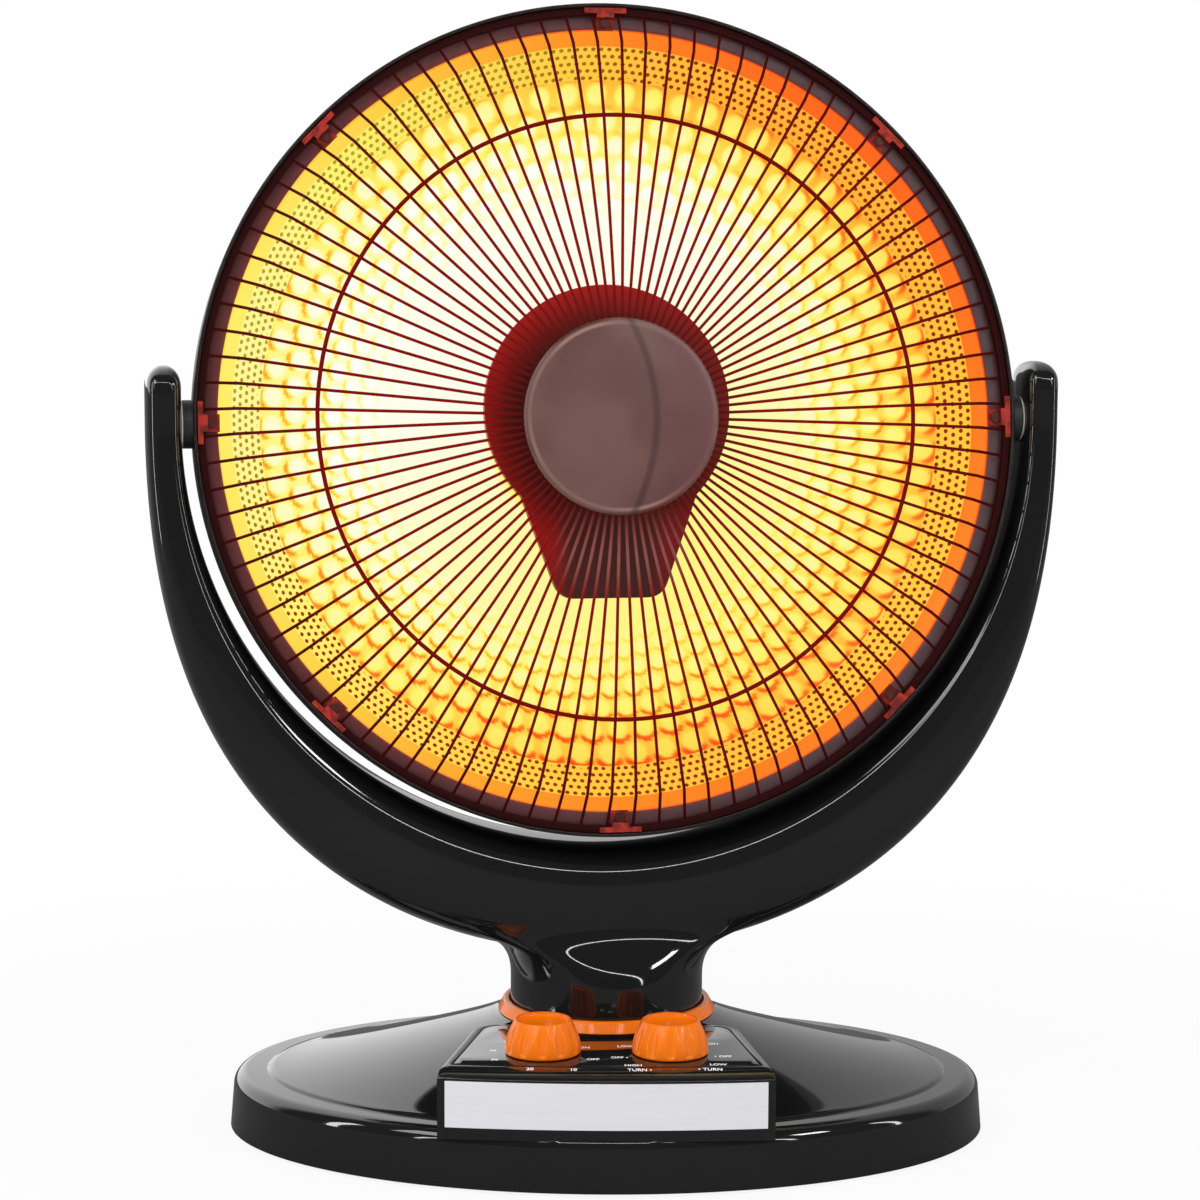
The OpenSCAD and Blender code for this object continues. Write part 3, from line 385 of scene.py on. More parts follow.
tree = new_finish("shield_steel")
radius, across, up = dish_radius(tree)
# Painted glow: the ramp paints the glow's red light, strongest near the edge, and the shield emits it too.
painted_glow_by_radius = by_radius(tree, radius, 90, [
    (0, tone(60, 14, 12)), (40, tone(66, 14, 12)), (46, tone(104, 10, 6)), (52, tone(150, 8, 4)),
    (58, tone(172, 10, 6)), (80, tone(130, 12, 8)),
])
# Painted shade towards the right and bottom, and a painted brown reflection over the foot.
painted_shade_right = ease(tree, across - up * 0.5, -46, 52)
foot = ease(tree, up, -46, -30, 1.0, 0.0) * ease(tree, across.math("ABSOLUTE"), 16, 26, 1.0, 0.0)
paint = blend(tree, 0.6 * painted_shade_right, painted_glow_by_radius, tone(84, 16, 14))
paint = blend(tree, 0.9 * foot, paint, tone(62, 30, 26))
mottle = spots(tree, 90)
surface(
    tree,
    Base_Color=blend(tree, 0.25 * mottle, paint, tone(50, 16, 12)),
    Roughness=0.4 + 0.15 * mottle,
    Specular_IOR_Level=0.3,
    Emission_Color=paint,
    Emission_Strength=0.22,
)
print("clip, cap and shield finishes")

# %% [markdown]
# The quartz tube lies behind the shield, where only its glow gets out, so it is plain clear glass round an orange
# coil that gives off light of its own.

# %% Quartz and coil
tree = new_finish("quartz")
surface(
    tree,
    Base_Color=tone(255, 240, 220),
    Roughness=0.04 + 0.05 * spots(tree, 60),
    Transmission_Weight=0.9,
    IOR=1.46,
)
tree = new_finish("element_wire")
glow_level = spots(tree, 300)
surface(
    tree,
    Base_Color=tone(120, 60, 30),
    Roughness=0.6,
    Emission_Color=blend(tree, glow_level, tone(255, 170, 60), tone(255, 214, 120)),
    Emission_Strength=1.0,
)
print(len(finishes), "finishes")

# %% [markdown]
# The hammered reflector mirrors the element, and that reflection is painted: the bowl glows by emission though it
# is no lamp. Its light changes with every bump, so the painted glow of each point is worked out where the bumps
# are made and stored on the mesh as `glow_share`, from 0 for unlit metal to 1 for white light. One ramp turns it
# into the colours of the element's light mirrored in metal.

# %% The glow
tree = new_finish("bright_aluminium")
# Painted reflection of the element: the stored share drives the emission colour.
glow_level = node(tree, "ShaderNodeAttribute", {"attribute_name": "glow_share"}, None, 2)
glow = node(tree, "ShaderNodeValToRGB", {"stops": [
    (0.0, tone(0, 0, 0)), (0.04, tone(84, 18, 10)), (0.1, tone(176, 36, 14)), (0.2, tone(240, 70, 24)),
    (0.3, tone(255, 106, 32)), (0.4, tone(255, 148, 40)), (0.54, tone(255, 208, 68)), (0.7, tone(255, 243, 112)),
    (0.84, tone(255, 250, 180)), (1.0, tone(255, 254, 242)),
]}, {"Fac": glow_level})
surface(
    tree,
    Base_Color=blend(tree, spots(tree, 300), tone(56, 34, 18), tone(70, 44, 24)),
    Metallic=1.0,
    Roughness=0.35,
    Emission_Color=glow,
    Emission_Strength=1.0,
)
print("glow ramp from dark red to white")

# %% [markdown]
# Every CAD node takes the finish of its material slot. The nodes come with one material each, so the slot is
# simply filled again, and the mesh isn't touched. Only the clips' screws, browned by the heat, have their own.

# %% Dress the CAD nodes
slots = {part["node"]: part["material_slot"] for part in frame["record"]["subparts"]}
for node_name, slot in slots.items():
    mesh = nodes[node_name].data
    mesh.materials.clear()
    mesh.materials.append(finishes["warm_screw" if node_name == "clip_screws" else slot])
print("dressed", len(slots), "nodes")

# %% [markdown]
# Most pieces below are skins over rings of points, and most rings are an `oval`. `skin` joins each ring to the
# next. `piece` builds the mesh in place, welds doubles, turns the faces outward, and shades it smooth except where
# faces meet at a sharp edge. A turned piece is a skin over the circles of its profile.

# %% Skins and pieces
def full_turn(count):
    return [2 * math.pi * j / count for j in range(count)]


def oval(half_w, half_d, z, count=240):
    return [(half_w * math.cos(a), half_d * math.sin(a), z) for a in full_turn(count)]


def skin(rings, closed=False):
    """Points and faces over rings of equal length; closed joins the last ring to the first."""
    count, size = len(rings), len(rings[0])
    points = [p for ring in rings for p in ring]
    faces = []
    for i in range(count if closed else count - 1):
        k = (i + 1) % count
        for j in range(size):
            n = (j + 1) % size
            faces.append((i * size + j, i * size + n, k * size + n, k * size + j))
    if not closed:
        faces += [tuple(range(size))[::-1], tuple((count - 1) * size + j for j in range(size))]
    return points, faces


def outward_mesh(name, points, faces, weld=None):
    """A mesh whose faces all turn outward; weld joins points that lie closer than that."""
    mesh = bpy.data.meshes.new(name)
    mesh.from_pydata(points, [], faces)
    work = bmesh.new()
    work.from_mesh(mesh)
    if weld:
        bmesh.ops.remove_doubles(work, verts=work.verts, dist=weld)
    bmesh.ops.recalc_face_normals(work, faces=work.faces)
    work.to_mesh(mesh)
    work.free()
    return mesh


def piece(name, points, faces, place, body, finish, sharp=32, stands_for=()):
    mesh = outward_mesh(name, [place @ Vector(p) for p in points], faces, weld=2e-6)
    made = stand(name, mesh)
    mesh.materials.append(finishes[finish])
    smooth(mesh, sharp)
    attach(made, body)
    if stands_for:
        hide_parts(*stands_for)
    return made


def smooth(mesh, sharp):
    mesh.shade_smooth()
    mesh.set_sharp_from_angle(angle=math.radians(sharp))


def arc(centre, radius, first, last, steps):
    """Points of an arc in a profile plane, with angles in degrees."""
    turn = [math.radians(first + (last - first) * i / steps) for i in range(steps + 1)]
    return [(centre[0] + radius * math.cos(a), centre[1] + radius * math.sin(a)) for a in turn]


def spin(profile, count=256):
    """Rings of a turned shape whose profile is a closed line of (radius, height)."""
    return [oval(r, r, z, count) for r, z in profile]


def turned(name, profile, place, body, finish, stands_for=(), sharp=32):
    """A turned piece; a profile that starts and ends on the axis is closed at its poles."""
    rings = spin([(max(r, 0.0005), z) for r, z in profile])
    on_axis = profile[0][0] == 0 and profile[-1][0] == 0
    return piece(name, *skin(rings, closed=not on_axis), place, body, finish, sharp, stands_for)


print("helpers ready")

# %% [markdown]
# Cuts such as the console's seat in the base, the bores in the arms and the screw holes come from a Boolean
# modifier with the exact solver. `settle` then keeps the result as a plain mesh and drops the modifier.

# %% Cut and settle
def settle(made, sharp=32):
    result = made.evaluated_get(bpy.context.evaluated_depsgraph_get())
    mesh = bpy.data.meshes.new_from_object(result)
    made.modifiers.clear()
    old, made.data = made.data, mesh
    bpy.data.meshes.remove(old)
    smooth(mesh, sharp)
    mesh.name = made.name


def gathered(shapes):
    """Several solids, given as (points, faces), in one pair of lists."""
    points, faces = [], []
    for some_points, some_faces in shapes:
        faces += [tuple(i + len(points) for i in face) for face in some_faces]
        points += some_points
    return points, faces


def cut(made, shapes, place, sharp=32):
    """Takes solids, given as (points, faces), out of a piece."""
    points, faces = gathered(shapes)
    cutter = stand("cutter", outward_mesh("cutter", [place @ Vector(p) for p in points], faces))
    change = made.modifiers.new("cut", "BOOLEAN")
    change.operation, change.solver, change.object = "DIFFERENCE", "EXACT", cutter
    settle(made, sharp)
    bpy.data.objects.remove(cutter)


def stepped(start, direction, steps, count=64):
    """Points and faces of a rod with steps, each a (distance, radius), for cutting holes."""
    turn = Vector((0, 0, 1)).rotation_difference(Vector(direction)).to_matrix()
    rings = [oval(radius, radius, z, count) for z, radius in steps]
    return skin([[tuple(Vector(start) + turn @ Vector(p)) for p in ring] for ring in rings])


def rod(start, direction, radius, length, count=64):
    return stepped(start, direction, ((0, radius), (length, radius)), count)


print("cutting tools ready")

# %% [markdown]
# ## The base
# The base is one moulding: a leaning rim with a rounded edge, a flat border, a small step, and a dome that rises
# in a hollow curve to the flat hub. All its rings are ovals. With 240 points to a ring, the gloss shows no facets.

# %% The base moulding
base_w, base_d, foot_z = 165, 108, 1.5
edge_h, corner, lean = 25.5, 6.0, 1.5
dome_w, dome_d, dome_z, hub_z, hub_r, wall = 147.5, 94.0, 26.7, 52.0, 47.5, 2.5


def dome(u, drop=0.0):
    share = 0.9 * u**1.15 + 0.1 * u**8
    z = dome_z + (hub_z - dome_z) * share - drop
    return oval(dome_w + (hub_r - dome_w) * u, dome_d + (hub_r - dome_d) * u, z)


rings = [oval(base_w, base_d, foot_z), oval(base_w - lean, base_d - lean, edge_h - corner)]
for step in range(1, 9):
    a = math.radians(90 * step / 8)
    inset = lean + corner * (1 - math.cos(a))
    rings.append(oval(base_w - inset, base_d - inset, edge_h - corner + corner * math.sin(a)))
small_step = ((1.8, 0), (1.3, 0.06), (0.9, 0.3), (0.4, 0.9), (0, 1.2))
rings += [oval(dome_w + d, dome_d + d, edge_h + h) for d, h in small_step]
rings += [dome(step / 48) for step in range(1, 48)]
rings += [oval(r, r, z) for r, z in ((48.0, 51.6), (47.6, 51.9), (47.1, 52), (34, 52), (34, 49.5))]
rings += [dome(step / 12, wall) for step in range(12, -1, -1)]
rings += [oval(157.5, 100.5, edge_h - wall), oval(161, 104, edge_h - corner)]
rings.append(oval(base_w - wall, base_d - wall, foot_z))
base_skin = piece("base_moulding", *skin(rings, closed=True), on_base, "base", "gloss_black", 30, ["base_shell"])
print("base moulding", len(base_skin.data.polygons), "faces")

# %% [markdown]
# The console's outline is drawn once and used for its seat, its housing and its panel. It has a bowed front,
# tapering sides, round back corners, and a bay that clears the hub. The same number of points at every inset lets
# outlines be skinned together.

# %% The console's outline
front_bow, front_y = 531.0, 105.0
side_w, back_w, back_depth, back_corner = 69, 56, -24, 13
lean_x, lean_y = 2, -110  # at lean_y, the line of a side lies lean_x outside side_w


def line(first, last, steps):
    return [tuple(Vector(first).lerp(Vector(last), i / steps)) for i in range(1, steps)]


def round_corner(before, at, after, radius, steps=12):
    """Points of an arc tucked into a corner."""
    at = Vector(at)
    u, v = (Vector(before) - at).normalized(), (Vector(after) - at).normalized()
    half = u.angle(v) / 2
    middle = at + (u + v).normalized() * (radius / math.sin(half))
    first = at + u * (radius / math.tan(half)) - middle
    whole = math.copysign(math.pi - 2 * half, -u.cross(v))
    return [tuple(middle + Matrix.Rotation(whole * i / steps, 2) @ first) for i in range(steps + 1)]


def console_outline(inset, front_inset):
    """Points round the console, from the left end of the front, drawn in by the insets."""
    side, back, back_y = side_w - inset, back_w - inset, back_depth - inset
    bow, bow_y = front_bow - front_inset, front_bow - front_y
    low, high = Vector((side + lean_x, lean_y)), Vector((back, back_y))
    run = (high - low).normalized()
    # where the side meets the bowed front
    b = run.dot(low - Vector((0, bow_y)))
    c = (low - Vector((0, bow_y))).length_squared - bow * bow
    nose = low + run * (-b + math.sqrt(b * b - c))
    if nose.y > 0:
        nose = low + run * (-b - math.sqrt(b * b - c))
    bay = hub_r + inset
    bay_x = math.sqrt(bay * bay - back_y * back_y)
    corner_points = round_corner(low, high, (0, back_y), back_corner - inset)
    half = [tuple(nose)] + line(nose, corner_points[0], 24) + corner_points
    half += line(corner_points[-1], (bay_x, back_y), 3)
    spread = math.asin(nose.x / bow)
    sweep = [spread * (2 * i / 60 - 1) for i in range(1, 60)]
    front = [(bow * math.sin(a), bow_y - bow * math.cos(a)) for a in sweep]
    first = math.atan2(back_y, bay_x)
    sweep = [first + (-math.pi - 2 * first) * i / 48 for i in range(49)]
    arc_points = [(bay * math.cos(a), bay * math.sin(a)) for a in sweep]
    mirrored = [(-x, y) for x, y in reversed(half)]
    return front + half + arc_points + mirrored


print("console outline of", len(console_outline(0, 0)), "points")

# %% [markdown]
# The console stands in a pocket of the base. A prism over its outline, a hair wider all round, cuts the pocket.
# Two rods cut the hole and the spotface of the cord's gland through the rear wall.

# %% Cut the console's seat and the cord's hole
seat_z, seat_top, seat_gap = 22.5, 62.5, 0.05
gland_z = 13.2


def prism(outline, low, high):
    return skin([[(x, y, z) for x, y in outline] for z in (low, high)])


cut(base_skin, [
    prism(console_outline(-seat_gap, -seat_gap), seat_z, seat_top),
    rod((0, 94, gland_z), (0, 1, 0), 6.1, 20),
    rod((0, 106, gland_z), (0, 1, 0), 8.2, 10),
], on_base, 30)
print("base moulding after the cuts:", len(base_skin.data.polygons), "faces")

# %% [markdown]
# The housing is skinned from its foot up, over a small rounding at the sides and over the deep round brow along
# the front, to the sunk seat of the panel. Near the front, a side wall's top follows the brow, so the two
# roundings meet in one corner. The panel is a thin polished slab, and the gap round it shows as a black groove.

# %% The console
brow_d, brow_h, top_z, side_round = 10.0, 4.0, 51.0, 1.6


def brow(x, y):
    """Height of the console's top at a point, with the front rolled down."""
    back = front_bow - math.hypot(x, y - (front_bow - front_y))
    left = max(0.0, 1 - back / brow_d)
    return top_z - brow_h * (1 - math.sqrt(max(0.0, 1 - left * left)))


def level_ring(inset, front_inset, z):
    return [(x, y, z) for x, y in console_outline(inset, front_inset)]


housing = [level_ring(0, 0, seat_z + seat_gap)]
for step in range(0, 13):
    a = math.radians(90 * step / 12)
    outline = console_outline(side_round * (1 - math.cos(a)), brow_d * (1 - math.cos(a)) * 0.985)
    side_z = top_z - side_round * (1 - math.sin(a))
    housing.append([(x, y, min(side_z, brow(x, y))) for x, y in outline])
housing += [level_ring(*step) for step in ((3.4, 9.9, top_z), (3.6, 10.0, 50.85), (3.6, 10.0, 49.8))]
piece("console_shell", *skin(housing), on_base, "base", "console_black", 36, ["console_housing"])

panel_top = 51.2
slab = [(4.3, 10.7, 49.85), (4.3, 10.7, 50.9), (4.4, 10.8, 51.1), (4.65, 11.05, panel_top)]
slab = [level_ring(*step) for step in slab]
piece("control_panel", *skin(slab), on_base, "base", "panel_black", 40, ["console_panel"])
print("console and panel")

# %% [markdown]
# The collar ring is a turned band of the same orange as the knobs, with its edges softened.

# %% The collar ring
collar = arc((43.4, 52.75), 0.7, 180, 270, 4) + arc((46.7, 52.75), 0.7, 270, 350, 4)
collar += arc((44.4, 56.1), 1.1, 20, 90, 6) + arc((43.3, 56.6), 0.6, 90, 180, 4)
turned("collar", collar, on_base, "base", "orange_plastic", ["collar_ring"])
print("collar of", len(collar), "profile points")

# %% [markdown]
# A knob is a waisted bell with twelve finger scallops and a dished top. Each scallop is the path of a round-nosed
# cutter that leans with the side. For every point of the turned bell, the radius is the smaller of the bell's own
# and the cutter's inner edge, with a soft minimum that leaves a fine rounded ridge where they meet.

# %% The knobs
scallops, knob_x, knob_y, knob_z = 12, 26.6, -71.8, 51.6


def flow(points, steps):
    """A smooth line through points (Catmull-Rom)."""
    padded = [points[0], *points, points[-1]]
    out = []
    for i in range(1, len(padded) - 2):
        a, b, c, d = (Vector(p) for p in padded[i - 1:i + 3])
        for k in range(steps):
            t = k / steps
            out.append(tuple(0.5 * (2 * b + (c - a) * t + (2 * a - 5 * b + 4 * c - d) * t * t
                                    + (3 * b - a - 3 * c + d) * t**3)))
    return out + [points[-1]]


def soft_min(a, b, width=0.35):
    share = max(0.0, min(1.0, 0.5 + 0.5 * (b - a) / width))
    return a * share + b * (1 - share) - width * share * (1 - share)


def knob_radius(r, z, angle):
    """The bell's radius r at a height and angle, cut back where a scallop runs."""
    pitch = 2 * math.pi / scallops
    off = (angle + pitch / 2) % pitch - pitch / 2
    reach, nose, start, lean_in = 18.4, 3.2, 3.1, 0.2908
    if z < start:
        nose = math.sqrt(max(0.0, nose * nose - (start - z) ** 2))
    else:
        reach -= (z - start) * lean_in
    side = abs(reach * math.sin(off))
    if side >= nose:
        return r
    return soft_min(r, reach * math.cos(off) - math.sqrt(nose * nose - side * side))


wall_line = [
    (15.6, 0), (16, 0.7), (15.9, 3.1), (15.3, 5.9), (14.2, 9.0), (12.8, 12.0), (11.95, 13.7), (11.5, 14.1),
]
smooth_top_r = 11.4
bell = flow(wall_line, 7)
dish = flow([(10.8, 13.9), (9.9, 12.3), (6, 11.8), (0.3, 11.7)], 6)


def knob(name, x, body, node_name):
    rings = []
    for r, z in [(0.3, 0.0)] + bell + dish:
        ring = []
        for a in full_turn(360):
            radius = knob_radius(r, z, a) if r > smooth_top_r else r
            ring.append((x + radius * math.cos(a), knob_y + radius * math.sin(a), knob_z + z))
        rings.append(ring)
    piece(name, *skin(rings), on_base, body, "orange_plastic", 50, [node_name])


knob("timer_dial", -knob_x, "timer", "timer_knob")
knob("power_dial", knob_x, "selector", "selector_knob")
print("two knobs with", len(bell) + len(dish), "rings each")

# %% [markdown]
# ## The yoke
# The yoke is a crescent with a rounded-box section, thin at the tilt axis and deep at the bottom. Its two shells
# part along the middle plane. Each shell is a skin over half sections, close enough together that its long
# highlights run without a break.

# %% The crescent's two shells
in_r, arm_t, belly_t, arm_d, belly_d = 182.5, 15.0, 32.0, 32.0, 60.0
arm_top, arm_tip, roundness = 25.0, 9.0, 2.2


def power(v, e):
    return math.copysign(abs(v) ** e, v)


def thickness(a):
    return arm_t + belly_t * (1 - abs(math.sin(a)) ** 3.6)


def depth(a):
    return arm_d + (belly_d - arm_d) * abs(math.cos(a)) ** 1.4


def tip_scale(h):
    if h <= arm_top - arm_tip:
        return 1.0
    return max(0.001, 1 - ((h - arm_top + arm_tip) / arm_tip) ** roundness) ** (1 / roundness)


def on_crescent(a, b, h=0.0):
    """A point of the skin: a goes round the arc from straight down, b round the section."""
    t, s = thickness(a), tip_scale(h)
    r = in_r + t / 2 + t / 2 * s * power(math.cos(b), 0.5)
    return Vector((r * math.sin(a), depth(a) / 2 * s * power(math.sin(b), 0.6), pivot_z - r * math.cos(a) + h))


# angles round half a section, crowded where it turns fast, and heights up the rounded tip as shares of it
section = [math.pi * (i / 44 - math.sin(2 * math.pi * i / 44 * 2) / (9 * math.pi)) for i in range(45)]
climb = [0.3, 0.5, 0.64, 0.72, 0.79, 0.85, 0.9, 0.935, 0.96, 0.98, 0.991, 0.997]
shell_gap = 0.02  # from the parting plane to each shell


def crescent(side):
    stations = [(-math.pi / 2, k * arm_top) for k in reversed(climb)]
    stations += [(math.radians(a * 1.25), 0.0) for a in range(-72, 73)]
    stations += [(math.pi / 2, k * arm_top) for k in climb]
    rings = []
    for a, h in stations:
        ring = [on_crescent(a, side * b, h) for b in section]
        rings.append([(p.x, p.y + side * shell_gap, p.z) for p in ring])
    return rings


print("crescent of", len(crescent(1)), "stations")

# %% [markdown]
# The neck grows out of the round hub and flows into the crescent. Each line of the flare is a Bezier curve: it
# leaves the neck straight up and lands on the crescent's skin along the skin's own direction, so the highlights
# cross the joint without a crease.

# %% The neck
neck_r, neck_z, flare_z = 42.0, 57.0, 68.0
flare_spread, flare_wrap = math.radians(21), math.radians(84)
inside_belly = Vector((0, 0, 106))


def landing(turn):
    """Where a line of the flare meets the crescent, and its direction there."""
    a = flare_spread * math.cos(turn)
    b = flare_wrap * power(math.sin(turn), 0.75)
    spot = on_crescent(a, b)
    along = on_crescent(a + 0.004, b) - on_crescent(a - 0.004, b)
    step = 0.01 if abs(b) > 0.02 else 0.03
    around = on_crescent(a, b + step) - on_crescent(a, b - step)
    normal = along.cross(around).normalized()
    away = Vector((math.cos(turn), 0.35 * math.sin(turn), abs(math.sin(turn))))
    away -= normal * away.dot(normal)
    return spot, away.normalized()


def neck(side):
    turns = [side * math.pi * k / 64 for k in range(65)]
    rings = [[(neck_r * math.cos(t), neck_r * math.sin(t), z) for t in turns] for z in (neck_z, 62.0)]
    ends = [landing(t) for t in turns]
    for j in range(29):
        s = j / 28
        ring = []
        for t, (spot, away) in zip(turns, ends):
            foot = Vector((neck_r * math.cos(t), neck_r * math.sin(t), flare_z))
            reach = 0.62 * (spot - foot).length
            first, second = foot + Vector((0, 0, reach * 0.75)), spot - away * reach * 0.62
            p = ((1 - s) ** 3 * foot + 3 * s * (1 - s) ** 2 * first + 3 * s * s * (1 - s) * second + s**3 * spot)
            ring.append(tuple(p))
        rings.append(ring)
    rings.append([tuple(spot * 0.94 + inside_belly * 0.06) for spot, away in ends])
    return [[(x, y + side * shell_gap, z) for x, y, z in ring] for ring in rings]


print("neck of", len(neck(1)), "rings")

# %% [markdown]
# An oval swelling stands out of the neck's front. It is a dome over an ellipse, flatter at its middle and pulled
# in round its edge, and its root lies inside the neck.

# %% The swelling on the neck
swell_w, swell_h, swell_out, swell_root, swell_z = 37, 16.5, 28, 18 - neck_r, 86.5


def swelling():
    rings = []
    for step in range(25):
        b = math.radians(88 * step / 24)
        share, y = math.cos(b) ** 0.85, swell_root - swell_out * math.sin(b) ** 1.1
        ring = oval(swell_w * share, swell_h * share, y, 96)
        rings.append([(x, y, swell_z + up) for x, up, y in ring])
    return rings


def shell(name, side, extra, node_name):
    points, faces = gathered([skin(rings) for rings in [crescent(side), neck(side)] + extra])
    return piece(name, points, faces, on_yoke, "yoke", "gloss_black", 40, [node_name])


front_shell = shell("yoke_front_shell", -1, [swelling()], "yoke_front")
rear_shell = shell("yoke_rear_shell", 1, [], "yoke_rear")
print("yoke shells:", len(front_shell.data.polygons), "and", len(rear_shell.data.polygons), "faces")

# %% [markdown]
# Each arm is bored from its inner side for the tilt bush, with a wider spotface for the washer. Both are one
# stepped cutter, because two cutters that overlap on one axis break the exact solver. Six holes at the back take
# the screws that join the shells.

# %% Bores for the tilt bushes and the rear screws
screw_hole_r, screw_sink = 3.4, 4


def screw_holes():
    holes = []
    for degrees in (-76, -50, -23, 23, 50, 76):
        a = math.radians(degrees)
        r = in_r + thickness(a) / 2
        start = (r * math.sin(a), depth(a) / 2 - screw_sink, pivot_z - r * math.cos(a))
        holes.append(rod(start, (0, 1, 0), screw_hole_r, 10, 40))
    return holes


spotface_r, spotface_end, bush_r, bore_end, bore_x = 10.5, 2.2, 8.65, 15.5, 180.5
bore = ((0, spotface_r), (spotface_end, spotface_r), (spotface_end, bush_r), (bore_end, bush_r))
bores = [stepped((s * bore_x, 0, pivot_z), (s, 0, 0), bore) for s in (-1, 1)]
cut(front_shell, bores, on_yoke, 40)
cut(rear_shell, bores + screw_holes(), on_yoke, 40)
print("bores cut")

# %% [markdown]
# ## The dish
# The reflector is a paraboloid of bright sheet, hammered all over with bumps in 72 columns that stand half a step
# off from ring to ring. The rings keep a fixed ratio of radii, so the bumps stay as wide as they are tall down to
# the middle. A polar grid carries the shape: 720 columns put ten points across each bump.

# %% Bumps and painted glow of the reflector
mirror_r, mirror_edge, mirror_depth = 166.5, 4.5, 84.0
columns, ratio, outer_ring = 72, 0.93, 143.4
hammered_r, plain_r, lip_r = 148.6, 161.3, 170.0  # where hammering, hole band and plain band end
bump_height, bump_reach = 0.085, 0.6  # in units of the bumps' pitch
unhammered = (9.0, 9.0)  # as far from any bump's middle


def mirror_z(r):
    return mirror_edge - mirror_depth * (1 - (r / mirror_r) ** 2)


def ramp(v, low, high):
    t = max(0.0, min(1.0, (v - low) / (high - low)))
    return t * t * (3 - 2 * t)


def cell(r, angle):
    """Distances from the nearest bump's middle, outward and round the ring, in units of the bumps' pitch."""
    u = math.log(r / outer_ring) / math.log(ratio)
    if u < -0.75:
        return unhammered
    v = angle * columns / (2 * math.pi)
    places = []
    for k in (math.floor(u), math.floor(u) + 1):
        if k >= 0:
            places.append(((k - u) * 0.86, (v - 0.5 * (k % 2) + 0.5) % 1 - 0.5))
    return min(places, key=lambda spot: spot[0] ** 2 + spot[1] ** 2)


def bump(out, along):
    """Height of the hammering as a share of a bump's."""
    return max(0.0, 1 - (out * out + along * along) / bump_reach**2) ** 1.1


def painted_glow_at(r, angle, out, along):
    """Painted glow: white inside and at the left, orange outside, with painted highlight and arch of shade on each
    bump.
    """
    inner = min(0.98, 0.89 + 0.16 * math.cos(angle - math.radians(118)))
    outer = 0.53 + 0.124 * math.cos(angle - math.pi) + 0.068 * math.cos(2 * angle + math.radians(23))
    level = inner + (outer - inner) * ramp(r, 88, 160)
    if r > lip_r:
        return outer - 0.9
    if r > plain_r:
        return outer - 0.09 - 0.04 * math.cos(angle)
    d = math.hypot(out, along)
    if r > hammered_r or d > 1:
        return outer + 0.05
    # Painted highlight in each bump's middle and painted shade in an arch on its outer side.
    lean = (out * (1 - 0.4 * math.sin(angle)) - along * 0.4 * math.cos(angle)) / max(d, 0.01)
    spot = 1 - ramp(d, 0.26, 0.42)
    painted_arch_shade = ramp(d, 0.32, 0.42) * (1 - ramp(d, 0.48, 0.6)) * ramp(lean, 0.4, 0.92)
    painted_bump_highlight = 0.19 * (0.82 + 0.24 * math.sin(angle)) * spot
    painted_bump_shade = (0.28 - 0.07 * math.cos(angle)) * painted_arch_shade + 0.01
    return level + ramp(r, 80, 122) * (painted_bump_highlight - painted_bump_shade)


print("heat in the middle", painted_glow_at(60, 0, 0, 0), "at the edge", round(painted_glow_at(165, 0, 9, 9), 2))

# %% [markdown]
# The bowl's rings run from the middle to the edge in steps of a fixed ratio, closer together where the bumps show
# most, over the flat lip, and back along the rear. Each point is raised by its bump and keeps its painted glow,
# which goes into an attribute on the mesh once the piece is made.

# %% The reflector
fine_from, fine_to = 78, 148.5
rows = [5, 25, 40] + [45 * (fine_from / 45) ** (i / 20) for i in range(20)]
rows += [fine_from * (fine_to / fine_from) ** (i / 78) for i in range(79)]
rows += [148.7, 152, 156, 161.2, 161.5, 166.4]
lip_in, lip_out, sheet = 166.6, 172, 1
front_line = [(r, mirror_z(r)) for r in rows] + [(lip_in, mirror_edge), (lip_out, mirror_edge)]
back_line = [(lip_out, mirror_edge - sheet), (lip_in, mirror_edge - sheet)]
back_line += [(r, mirror_z(r) - sheet) for r in (140, 110, 80, 50, 25, 5)]
rings, painted_glow_shares = [], []
for i, (r, z) in enumerate(front_line + back_line):
    ring = []
    for a in full_turn(10 * columns):
        out, along = cell(r, a) if i < len(rows) and 40 < r < 152 else unhammered
        rise = bump_height * bump(out, along) * r * 2 * math.pi / columns
        ring.append((r * math.cos(a), r * math.sin(a), z + rise))
        painted_glow_shares.append(painted_glow_at(r, a, out, along) if i < len(front_line) else 0.0)
    rings.append(ring)
bowl = piece("hammered_bowl", *skin(rings, closed=True), on_dish, "head", "bright_aluminium", 60, ["reflector"])
attribute = bowl.data.attributes.new("glow_share", "FLOAT", "POINT")
attribute.data.foreach_set("value", painted_glow_shares)
print("bowl of", len(bowl.data.polygons), "faces, heat on", len(attribute.data), "points")

# %% [markdown]
# Five rows of small cooling holes run round the bowl just inside its edge, 288 to a row, each row half a step off
# from the next. Through them the dark housing shows, and the glow's light on it is painted, more yellow on the
# left and orange-red on the right, so the finish follows the side. A Geometry Nodes tree lays one dark cup at
# every point of a circle and turns it to face along the bowl's normal. Its sizes are named inputs, and it ends in
# real geometry, because the export drops instances.

